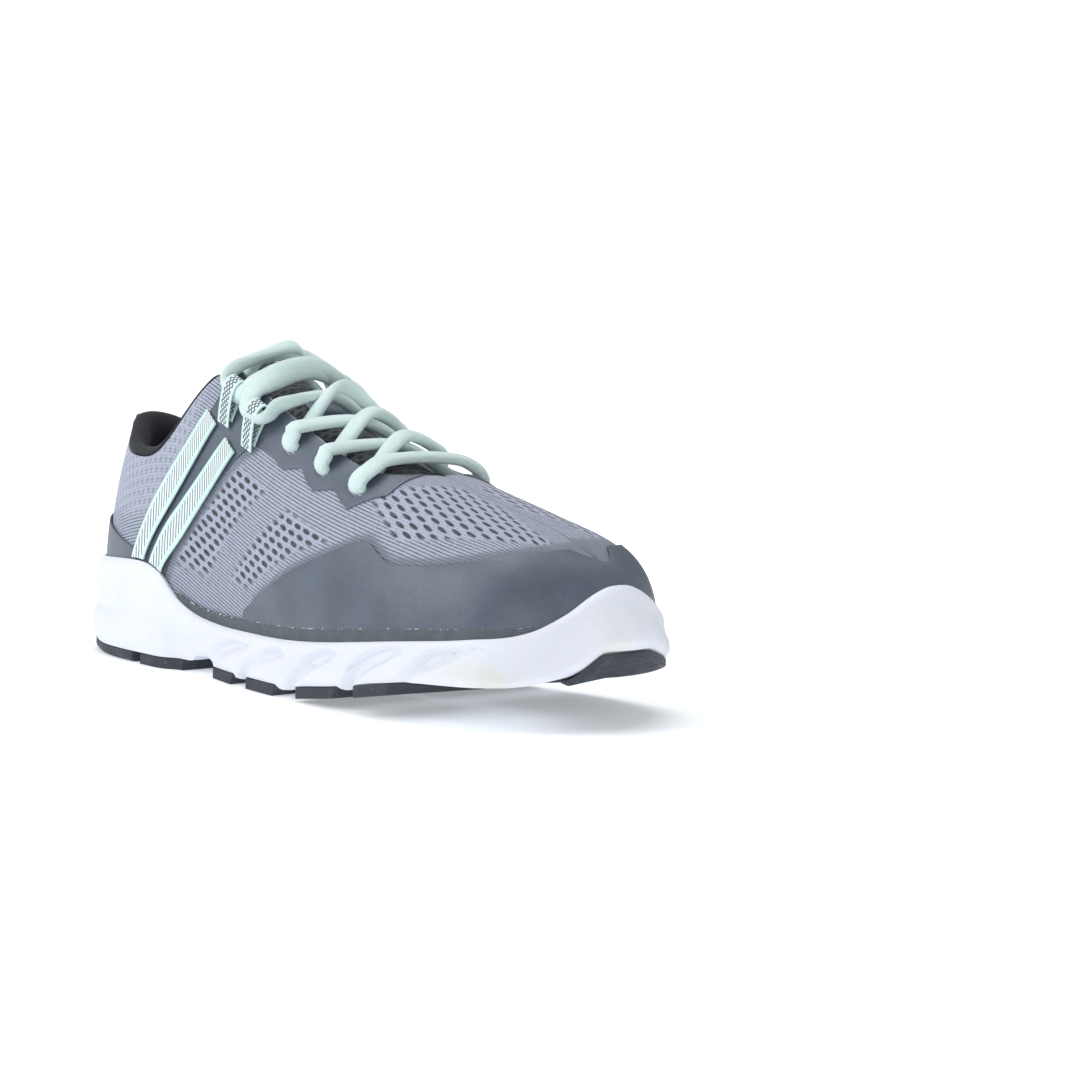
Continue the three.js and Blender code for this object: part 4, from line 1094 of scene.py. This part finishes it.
def black_tape_finish():
    finish, shader, f = new_finish("black_tape", roughness=0.8, sheen=0.2)
    u, v = f.cloth()
    twill = wave(u + v, 0.9)
    shade = twill * 0.5 + f.noise(400, 2) * 0.5
    f.feed(shader, {"Base Color": shade.mix((0.012, 0.012, 0.015), (0.06, 0.065, 0.08)),
                    "Normal": f.bump(twill, 0.15)})
    return finish


pull_tab = lay_grid("pull_tab_tape", 40, 6, tab_place, lambda a, b: (a * 22, b * 8))
thicken(pull_tab, TAB_THICK, black_tape_finish(), bevel=0.2, offset=0.0, angle=50)
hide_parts("heel_pull_tab")
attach(pull_tab, "pull_tab")

# ---- Collar -----------------------------------------------------------------------------------
# A foam roll round the foot opening under a black lining, turned over the knit's edge.
COLLAR_END = 0.328


def along_section(side, t, h, distance):
    """The h reached by going so many millimetres up the section from h, or down if negative."""
    j = CLOTH_H
    down = cloth_lengths(side[:, None] + 0 * j, t[:, None] + 0 * j, h[:, None] * 0 + j)[1]
    here = np.array([np.interp(hh, j, row) for hh, row in zip(h, down)])
    want = here - distance
    return np.array([np.interp(-w, -row, j) for w, row in zip(want, down)])


def collar_profile(t):
    """Points round the roll: [distance beyond the edge of the knit, offset from the last]."""
    drop = -(32 - 8 * min(t / 0.34, 1))
    return [(0.7, 0.3), (2.9, 0.1), (4.3, -1.6), (4.2, -4.4), (1.6, -6.9), (-4.5, -8.6),
            (-11, -8.4), (-18, -6.2), (drop, -4.5), (drop, -2.6), (-18, -2.3), (-8, -2.3),
            (-2, -2.2), (0.2, -1.2)]


def lining_finish():
    finish, shader, f = new_finish("black_spacer_mesh", roughness=0.95, sheen=0.04)
    u, v = f.cloth()
    cells = oval_holes(u, v, (2.2, 1.7), (0.55, 0.4))
    shade = cells * 0.6 + f.noise(500, 2) * 0.4
    f.feed(shader, {"Base Color": shade.mix((0.02, 0.021, 0.028), (0.006, 0.006, 0.008)),
                    "Normal": f.bump(1 - cells, 0.3)})
    return finish


def make_collar():
    columns = 150
    round_heel = np.linspace(-COLLAR_END, COLLAR_END, columns + 1)
    side_of, t_of = fold(np.ones(columns + 1), round_heel)
    profiles = np.array([collar_profile(t) for t in t_of])
    rows = profiles.shape[1]
    points = np.empty((columns + 1, rows, 3))
    for k in range(rows):
        distance, off = profiles[:, k, 0], profiles[:, k, 1]
        edge = h_edge(side_of, t_of, np.maximum(off, -3))
        points[:, k] = surf(side_of, t_of, along_section(side_of, t_of, edge, distance), off)
    length = run_along(points[:, 4])[-1]

    def place(a, b):
        i = np.round(a * columns).astype(int)
        return points[i, np.round(b * rows).astype(int) % rows]

    piece = lay_grid("padded_collar", columns, rows, place, lambda a, b: (a * length, b * 70))
    edit(piece, lambda: bpy.ops.mesh.select_mode(type="EDGE"),
         lambda: bpy.ops.mesh.select_all(action="DESELECT"),
         lambda: bpy.ops.mesh.select_non_manifold(extend=False),
         lambda: bpy.ops.mesh.edge_face_add(),
         lambda: bpy.ops.mesh.select_all(action="SELECT"),
         lambda: bpy.ops.mesh.normals_make_consistent(inside=False))
    modify(piece, "SUBSURF", levels=1, render_levels=1)
    smooth(piece)
    piece.data.materials.append(lining_finish())
    return piece


collar = make_collar()
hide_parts("collar_lining", "collar_foam")
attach(collar, "shoe")

# ---- Tongue -----------------------------------------------------------------------------------
# A padded strip of coarse black spacer mesh under the laces, sewn in at its toe end, with a
# smooth grey patch near its top.
TONGUE_HALF = [(0.335, 15), (0.36, 19), (0.42, 24), (0.5, 26.5), (0.62, 28), (0.68, 25), (0.72, 21)]
TONGUE_ENDS = (0.335, 0.715)
TONGUE_MIDDLE = -7.55
TONGUE_THICK = 3.7


def tongue_point(t, across, off):
    """Point of the tongue: across runs -1 lateral to 1 medial."""
    side = np.where(across < 0, -1.0, 1.0)
    y = np.abs(across) * curve(TONGUE_HALF, t)
    low, high = np.full(t.shape, 0.3), np.full(t.shape, 1.0)
    for _ in range(24):
        m = (low + high) / 2
        wide = np.abs(skin(side, t, m)[:, 1]) > y
        low, high = np.where(wide, m, low), np.where(wide, high, m)
    return surf(side, t, low, off)


def tongue_finish():
    finish, shader, f = new_finish("coarse_black_mesh", roughness=0.9, sheen=0.2)
    u, v = f.cloth()
    cells = oval_holes(v, u, (5.6, 2.6), (2.1, 0.75))
    strand = f.noise(700, 2)
    strands = strand.mix((0.028, 0.03, 0.037), (0.075, 0.08, 0.095))
    f.feed(shader, {"Base Color": cells.mix(strands, (0.004, 0.004, 0.006)),
                    "Normal": f.bump((1 - cells) * 0.8 + strand * 0.2, 0.6)})
    return finish


def tongue_place(a, b):
    t = TONGUE_ENDS[0] + (TONGUE_ENDS[1] - TONGUE_ENDS[0]) * a
    return tongue_point(t, 2 * b - 1, TONGUE_MIDDLE + 0.5 * np.sin(math.pi * b) ** 2)


tongue = lay_grid("padded_tongue", 40, 20, tongue_place, lambda a, b: (a * 105, b * 52))
face_out(tongue)
modify(tongue, "SOLIDIFY", thickness=TONGUE_THICK / 1000, offset=0.0)
modify(tongue, "SUBSURF", levels=2, render_levels=2)
smooth(tongue)
tongue.data.materials.append(tongue_finish())
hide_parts("tongue")
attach(tongue, "tongue")

PATCH_ENDS = (0.418, 0.482)
PATCH_SHARE = 0.34
PATCH_THICK = 0.6


def patch_place(a, b):
    t = PATCH_ENDS[0] + (PATCH_ENDS[1] - PATCH_ENDS[0]) * a
    off = TONGUE_MIDDLE + TONGUE_THICK / 2 + 0.45
    return tongue_point(t, (2 * b - 1) * PATCH_SHARE, off)


patch = lay_grid("tongue_badge_blank", 16, 16, patch_place, lambda a, b: (a * 18, b * 18))
face_out(patch)
thicken(patch, PATCH_THICK, FILM_FINISH, bevel=0.2)
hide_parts("tongue_patch")
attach(patch, "tongue")

# ---- Inside of the shoe -----------------------------------------------------------------------
# A removable foam insole with a brushed grey cloth top, cupped at the heel, on a fibre board. A
# heel counter and a toe puff are laid up inside the knit. These three keep the frame's shapes.
INSOLE_ENDS = (0.04, 0.965)
INSOLE_INSET = -4.6
INSOLE_LIFT, INSOLE_THICK = 2.1, 3.1
INSOLE_CUP = 1.2


def insole_place(a, b):
    t = INSOLE_ENDS[0] + (INSOLE_ENDS[1] - INSOLE_ENDS[0]) * a
    lateral, medial = surf(-1, t, 0.02, INSOLE_INSET), surf(1, t, 0.02, INSOLE_INSET)
    p = lateral * (1 - b)[:, None] + medial * b[:, None]
    p[:, 2] = through(level_ends(BOTTOM), t) + INSOLE_LIFT + INSOLE_CUP * np.abs(2 * b - 1) ** 4
    return p


def insole_finish():
    finish, shader, f = new_finish("brushed_cloth", roughness=0.95, sheen=0.3)
    nap = f.noise(420, 4) * 0.6 + f.noise(1800, 2) * 0.4
    f.feed(shader, {"Base Color": nap.ramp(0.3, 0.7).mix((0.3, 0.31, 0.33), (0.44, 0.45, 0.47)),
                    "Normal": f.bump(nap, 0.25)})
    return finish


insole = lay_grid("insole", 60, 16, insole_place, lambda a, b: (a * 250, b * 80))
thicken(insole, INSOLE_THICK, insole_finish(), bevel=0.8, angle=60)
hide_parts("sockliner")
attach(insole, "sockliner")


def board_finish():
    finish, shader, f = new_finish("fibre_board", roughness=0.9)
    fibres = f.noise(600, 5)
    f.feed(shader, {"Base Color": fibres.mix((0.5, 0.49, 0.45), (0.66, 0.65, 0.61)),
                    "Normal": f.bump(fibres, 0.1)})
    return finish


refinish(["strobel_board", "heel_counter", "toe_puff"], board_finish())

# ---- Midsole ----------------------------------------------------------------------------------
# One block of moulded foam. Its wall flares below the upper and wraps up round the toe; the outer
# side is carved by valleys that start between the rubber lugs, and the foam dips between them.
RUBBER = 4.1
PAD_GAP = 0.3
FOAM_FLAT = RUBBER + PAD_GAP
FOAM_INSIDE = 0.6
FLARE = {-1: [(0, 4.5), (0.1, 5), (0.2, 5.6), (0.28, 6), (0.325, 5.6), (0.345, 2.6), (0.4, 3.4),
              (0.5, 6), (0.6, 5), (0.7, 4), (0.8, 4), (0.9, 5), (1, 6.6)],
         1: [(0, 4.5), (0.1, 5), (0.2, 5.4), (0.3, 4.8), (0.4, 3.6), (0.5, 3.6), (0.7, 4),
             (0.8, 4.4), (0.9, 5), (1, 6.6)]}
HEEL_LEVELS = [(-2, 15), (4, 10.6), (12, 7), (24, 4.9), (36, FOAM_FLAT), (94.5, FOAM_FLAT),
               (99, 7), (104, 7), (110, FOAM_FLAT)]
UNDERSIDE = {-1: HEEL_LEVELS + [(158, FOAM_FLAT), (182, 6.6), (197, 8.6), (212, 11.3), (228, 13.2),
                                (243, 13.8), (256, 14.2), (264, 15), (270, 17.6), (274, 22),
                                (276, 26)],
             1: HEEL_LEVELS + [(165, FOAM_FLAT), (182, 5.3), (197, 6.8), (212, 8.6), (229, 11.2),
                               (245, 14.8), (254, 17.4), (260, 19.2), (266, 21), (271, 23.2),
                               (276, 26)]}
# The four outer lugs, t at their rear and front ends.
LUGS = [(0.42, 0.476), (0.508, 0.574), (0.617, 0.69), (0.72, 0.776)]
# How far the wall stands out from the last against k, and its share of the flare.
REACH = [(0, -1.2), (0.16, 0), (0.45, 0), (0.8, 3.3), (0.94, 2.9), (1, 1.9)]
FLARE_SHARE = [(0, 1), (0.16, 1), (0.45, 0.8), (0.8, 0), (0.94, 0), (1, 0)]
# Valleys and creases on the outer wall: (t, k) at the low rear end and at the high front end,
# with k from 0 at the foam's lower edge to 1 at its rim, then width and depth in millimetres.
VALLEYS = [((0.402, -0.05), (0.5, 0.72), 3.4, 2.6), ((0.492, -0.05), (0.585, 0.74), 3.6, 3.2),
           ((0.596, -0.05), (0.688, 0.78), 3.8, 3.6), ((0.702, -0.05), (0.79, 0.82), 4, 3.8),
           ((0.786, -0.05), (0.885, 0.86), 3.4, 3)]
CREASES = [((0.43, 0.5), (0.482, 0.7), 1.5, 1.8), ((0.515, 0.42), (0.575, 0.62), 1.6, 2.2),
           ((0.625, 0.4), (0.682, 0.6), 1.7, 2.4), ((0.715, 0.45), (0.778, 0.72), 1.8, 2.6),
           ((0.815, 0.6), (0.862, 0.8), 1.5, 2)]
INNER_CREASES = [((0.6, 0.3), (0.82, 0.3), 1.5, 0.9), ((0.6, 0.5), (0.82, 0.5), 1.5, 0.9),
                 ((0.6, 0.7), (0.82, 0.7), 1.5, 0.9), ((0.4, 0.3), (0.58, 0.42), 4.5, 2)]
BEND = 0.077
DIP = 1.7
HEEL_STEP = 0.9


def outward(side, t):
    normal = surf(side, t, 0.02, 1) - surf(side, t, 0.02, 0)
    normal[..., 2] = 0
    return unit(normal)


def carved(t, k, height, marks):
    """How deep the wall is carved at (t, k): each mark is a bent groove with pointed ends."""
    depth = np.zeros(t.shape)
    for (t0, k0), (t1, k1), width, most in marks:
        start = np.stack([np.full(t.shape, t0 * FLAT[0]), k0 * height], -1)
        end = np.stack([np.full(t.shape, t1 * FLAT[0]), k1 * height], -1)
        line = end - start
        length = np.linalg.norm(line, axis=-1)
        p = np.stack([t * FLAT[0], k * height], -1) - start
        run = (p * line).sum(-1) / length**2
        away = (p[..., 0] * line[..., 1] - p[..., 1] * line[..., 0]) / length
        away = away + BEND * length * np.sin(math.pi * np.clip(run, 0, 1))
        taper = np.sin(math.pi * np.clip(run * 0.82 + 0.12, 0, 1)) ** 0.6
        inside = (run > -0.1) & (run < 1)
        lens = np.clip(1 - (away / (width * np.maximum(taper, 0.1))) ** 2, 0, 1) ** 1.4
        depth = np.maximum(depth, np.where(inside, most * taper * lens, 0))
    return depth


def foam_dip(t):
    """The foam hangs lower between the lugs."""
    dip = np.zeros(t.shape)
    for (_, rear), (front, _) in zip(LUGS, LUGS[1:]):
        share = np.clip((t - rear - 0.004) / (front - rear - 0.008), 0, 1)
        dip = dip + DIP * np.sin(math.pi * share) ** 0.6
    return dip


def wall(side, t, k, carve=True):
    """Point of the foam's outer wall, k from 0 at its lower edge to 1 at its rim."""
    side, t, k = np.broadcast_arrays(*(np.asarray(v, float) for v in (side, t, k)))
    edge = outline(side, t)
    out = outward(side, t)
    flare = by_side(side, FLARE, t)
    top = by_side(side, RIM, t)
    low = by_side(side, UNDERSIDE, edge[..., 0] + out[..., 0] * flare)
    if carve:
        low = low - foam_dip(t)
    z = low + (top - low) * k
    floor_level = through(level_ends(BOTTOM), t)
    body = skin(side, t, h_at(side, t, np.maximum(z, floor_level + 0.5)))
    start = np.where((z > floor_level)[..., None], body[..., :2], edge)
    reach = curve(REACH, k) + flare * curve(FLARE_SHARE, k)
    if carve:
        outer = carved(t, k, top - low, VALLEYS + CREASES)
        inner = carved(t, k, top - low, INNER_CREASES)
        heel_step = np.clip((0.3 - t) * 20, 0, 1) * np.exp(-((k - 0.42) / 0.06) ** 2) * HEEL_STEP
        reach = reach - np.where(side < 0, outer, inner) - heel_step
    return np.concatenate([start + out[..., :2] * reach[..., None], z[..., None]], -1)


def midsole_place(a, b):
    """The foam's section from the middle below (b = 0), out to the lower edge and up the wall,
    then down inside the rim to the hollow that the shoe's bottom lies in, and to its middle."""
    side, t = round_the_shoe(a)
    middle = (wall(-1, t, 0) + wall(1, t, 0)) / 2
    under = np.clip(b / 0.15, 0, 1)
    k = np.clip((b - 0.15) / 0.6, 0, 1)
    points = middle + (wall(side, t, k) - middle) * under[..., None]
    floor_level = through(level_ends(BOTTOM), t) - PAD_GAP
    rim_inside = by_side(side, RIM, t) - 0.3
    drop = np.clip((b - 0.76) / 0.12, 0, 1)
    z = rim_inside + (floor_level + 1 - rim_inside) * drop
    lining = surf(side, t, h_at(side, t, z), FOAM_INSIDE)
    lining[..., 2] = z
    points = np.where((b > 0.755)[..., None], lining, points)
    inwards = np.clip((b - 0.88) / 0.12, 0, 1)[..., None]
    foot = surf(side, t, 0.02, 0.3)
    foot[..., 2] = floor_level
    centre = (surf(-1, t, 0.02, 0.3) + surf(1, t, 0.02, 0.3)) / 2
    centre[..., 2] = floor_level
    return np.where((b > 0.885)[..., None], foot + (centre - foot) * inwards, points)


STAIN, SCUFF = (0.70, 0.68, 0.58), (0.5, 0.5, 0.52)


def foam_finish():
    finish, shader, f = new_finish("eva_foam", roughness=0.62)
    shader.inputs["Subsurface Weight"].default_value = 0.08
    shader.inputs["Subsurface Scale"].default_value = 0.004
    u, v = f.cloth()
    hatch = wave(u + v * 0.9, 1.5) * f.painted("hatched")
    stains = f.noise(45, 5).ramp(0.46, 0.66) * f.painted("toe") * 0.6
    clean = f.noise(60, 3).mix((0.72, 0.745, 0.82), (0.80, 0.815, 0.865))
    scuffs = f.noise(420, 4).ramp(0.66, 0.8) * 0.25
    colour = stains.mix(clean, STAIN)
    f.feed(shader, {"Base Color": scuffs.mix(colour, SCUFF),
                    "Roughness": f.noise(90, 2) * 0.3 + 0.45,
                    "Normal": f.bump(f.noise(1400, 3) * 0.35 + hatch * 0.65, 0.12)})
    return finish


def make_midsole():
    columns, rows = 520, 100

    def fabric(a, b):
        return round_the_shoe(a)[1] * FLAT[0], b * 40

    def painted(a, b):
        _, t = round_the_shoe(a)
        k = np.clip((b - 0.15) / 0.6, 0, 1)
        hatched = np.clip((k - 0.5) * 8, 0, 1) * np.clip((t - 0.3) * 20, 0, 1)
        hatched = hatched * np.clip((0.93 - t) * 20, 0, 1)
        return {"hatched": hatched,
                "toe": np.clip((t - 0.78) * 9, 0, 1) * np.clip((0.75 - k) * 4, 0, 1)}

    piece = lay_grid("midsole_foam", columns, rows, midsole_place, fabric, painted)
    edit(piece, lambda: bpy.ops.mesh.normals_make_consistent(inside=False))
    smooth(piece, 55)
    piece.data.materials.append(foam_finish())
    return piece


foam = make_midsole()
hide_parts("midsole")
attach(foam, "shoe")

# ---- Outsole ----------------------------------------------------------------------------------
# Separate pads of dark rubber glued under the foam, cut with fine cross ribs where they touch the
# ground. The four outer lugs slant back at their front ends.
RIB_RUN = 3.0
RIB_DEPTH = 0.7
PAD_ROWS = 40


def rubber_finish():
    finish, shader, f = new_finish("outsole_rubber", roughness=0.7)
    worn = f.noise(120, 4).ramp(0.5, 0.75)
    dust = f.noise(900, 3).ramp(0.6, 0.8) * 0.4
    colour = worn.mix((0.03, 0.037, 0.048), (0.06, 0.072, 0.09))
    f.feed(shader, {"Base Color": dust.mix(colour, (0.2, 0.22, 0.25)),
                    "Roughness": f.noise(70, 2) * 0.3 + 0.5,
                    "Normal": f.bump(f.noise(1600, 3), 0.1)})
    return finish


RUBBER_FINISH = rubber_finish()


def square_loop(b):
    """Once round a section: under, up one side, back over and down the other side."""
    across = np.interp(b, [0, 0.4, 0.5, 0.9, 1], [0, 1, 1, 0, 0])
    down = np.interp(b, [0, 0.4, 0.5, 0.9, 1], [1, 1, 0, 0, 1])
    return across, down


def make_pad(name, t0, t1, w0, w1, gap=PAD_GAP, bevel=0.0, rake=0.0, thick=RUBBER):
    """Rubber between two lengths t and two widths, w from -1 outside to 1 inside."""
    columns = int((t1 - t0) * FLAT[0] * 2)

    def place(a, b):
        steps = a * (columns + 2)
        run = np.clip((steps - 1) / columns, 0, 1)
        cap = np.clip(np.minimum(steps, columns + 2 - steps), 0, 1)
        t = t0 + (t1 - t0) * run
        across, down = square_loop(b)
        across, down = 0.5 + (across - 0.5) * cap, 0.5 + (down - 0.5) * cap
        w = w0(t) + (w1(t) - w0(t)) * across
        outer, inner = wall(-1, t, 0, False), wall(1, t, 0, False)
        p = outer + (inner - outer) * ((w + 1) / 2)[..., None]
        top = p[..., 2] - gap
        inner_part = (np.abs(across - 0.5) < 0.38) * (np.abs(run - 0.5) < 0.45)
        crest = np.sin(p[..., 0] * 2 * math.pi / RIB_RUN) > 0.2
        ribs = RIB_DEPTH * crest * inner_part
        low = np.maximum(top - thick, 0) + ribs + bevel * (across < 0.05)
        p[..., 2] = top + (low - top) * down
        p[..., 0] -= rake * down * run
        return p

    piece = lay_grid(name, columns + 2, PAD_ROWS, place)
    edit(piece, lambda: bpy.ops.mesh.normals_make_consistent(inside=False))
    modify(piece, "BEVEL", width=0.00035, segments=2, limit_method="ANGLE", angle_limit=BEVEL_FROM)
    smooth(piece, 35)
    piece.data.materials.append(RUBBER_FINISH)
    return piece


def steady(w):
    return lambda t: np.full(t.shape, float(w))


def toe_pad_edge(t):
    return 0.05 - 1.05 * np.clip((t - 0.87) / 0.1, 0, 1)


TOE_PAD = {"gap": 0.8, "bevel": 1.4, "thick": 2.2}
PADS = {"outsole_heel_rear": (0.012, 0.075, steady(-0.95), steady(0.95), {}),
        "outsole_heel_lateral": (0.085, 0.262, steady(-1), steady(-0.3), {"bevel": 1.5}),
        "outsole_heel_lateral_front": (0.278, 0.35, steady(-1), steady(-0.3), {}),
        "outsole_heel_medial": (0.085, 0.32, steady(0.3), steady(1), {}),
        "outsole_toe": (0.73, 0.985, toe_pad_edge, steady(1), TOE_PAD)}
for number, lug in enumerate(LUGS, 1):
    PADS[f"outsole_lug_lateral_{number}"] = (*lug, steady(-1), steady(-0.12), {"rake": 1.6})
    if number < 4:
        PADS[f"outsole_lug_medial_{number}"] = (*lug, steady(0), steady(1), {})
for node, (*place, measures) in PADS.items():
    rubber = make_pad(node.replace("outsole", "rubber"), *place, **measures)
    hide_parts(node)
    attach(rubber, "shoe")

# ---- Floor and light --------------------------------------------------------------------------
# A white floor runs into a white backdrop; the floor's glow is painted light, weak near the shoe
# and full further out. One large soft lamp stands on the outer side behind the heel, another hangs
# over the shoe, and a weak one fills the toe.
DOME, BACKDROP = 0.38, 1.05
FLOOR_SIZE = 8
# Each lamp's place, size and power.
LAMPS = {"lamp_key": ((-0.45, -0.95, 0.75), 0.8, 7), "lamp_top": ((-0.1, 0.1, 1.2), 0.9, 8),
         "lamp_front": ((1.0, -0.5, 0.35), 0.5, 2)}


def floor_finish():
    finish, shader, f = new_finish("white_floor", roughness=0.55)
    place = f.node("TexCoord", output="Object")
    away = f.node("VectorMath", {"operation": "LENGTH"}, {0: place}, "Value")
    # Emission Color is painted light: the floor glows weakly near the shoe and fully further out.
    f.feed(shader, {"Base Color": f.noise(3, 1).mix((0.9, 0.92, 0.94), (0.93, 0.94, 0.95)),
                    "Emission Color": away.ramp(0.16, 0.5).mix((0.3, 0.31, 0.32), (1, 1, 1))})
    shader.inputs["Emission Strength"].default_value = 1.0
    return finish


bpy.ops.mesh.primitive_plane_add(size=FLOOR_SIZE, location=(0, 0, 0))
floor = bpy.context.object
floor.name = "floor"
floor.data.materials.append(floor_finish())
floor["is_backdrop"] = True

world = bpy.data.worlds.new("studio")
bpy.context.scene.world = world
world.use_nodes = True
sky = Field(world.node_tree)
dome = sky.node("Background", (), {"Color": (0.9, 0.95, 1.0, 1), "Strength": DOME})
backdrop = sky.node("Background", (), {"Color": (1, 1, 1, 1), "Strength": BACKDROP})
seen = sky.node("LightPath", (), (), "Is Camera Ray")
blend = sky.node("MixShader", (), {0: seen, 1: dome, 2: backdrop})
world.node_tree.links.new(blend.socket, world.node_tree.nodes["World Output"].inputs["Surface"])
for name, (place, size, power) in LAMPS.items():
    lamp_data = bpy.data.lights.new(name, "AREA")
    lamp_data.size = size
    lamp_data.energy = power
    lamp = bpy.data.objects.new(name, lamp_data)
    bpy.context.scene.collection.objects.link(lamp)
    lamp.location = place
    lamp.rotation_euler = (-lamp.location).to_track_quat("-Z", "Y").to_euler()
bpy.context.scene.view_settings.view_transform = "Standard"

# ---- Record of the size -----------------------------------------------------------------------
def corners(box):
    return [[float(v) for v in corner] for corner in box]


{"cad": corners(CAD_BOX), "visual": corners(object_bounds())}
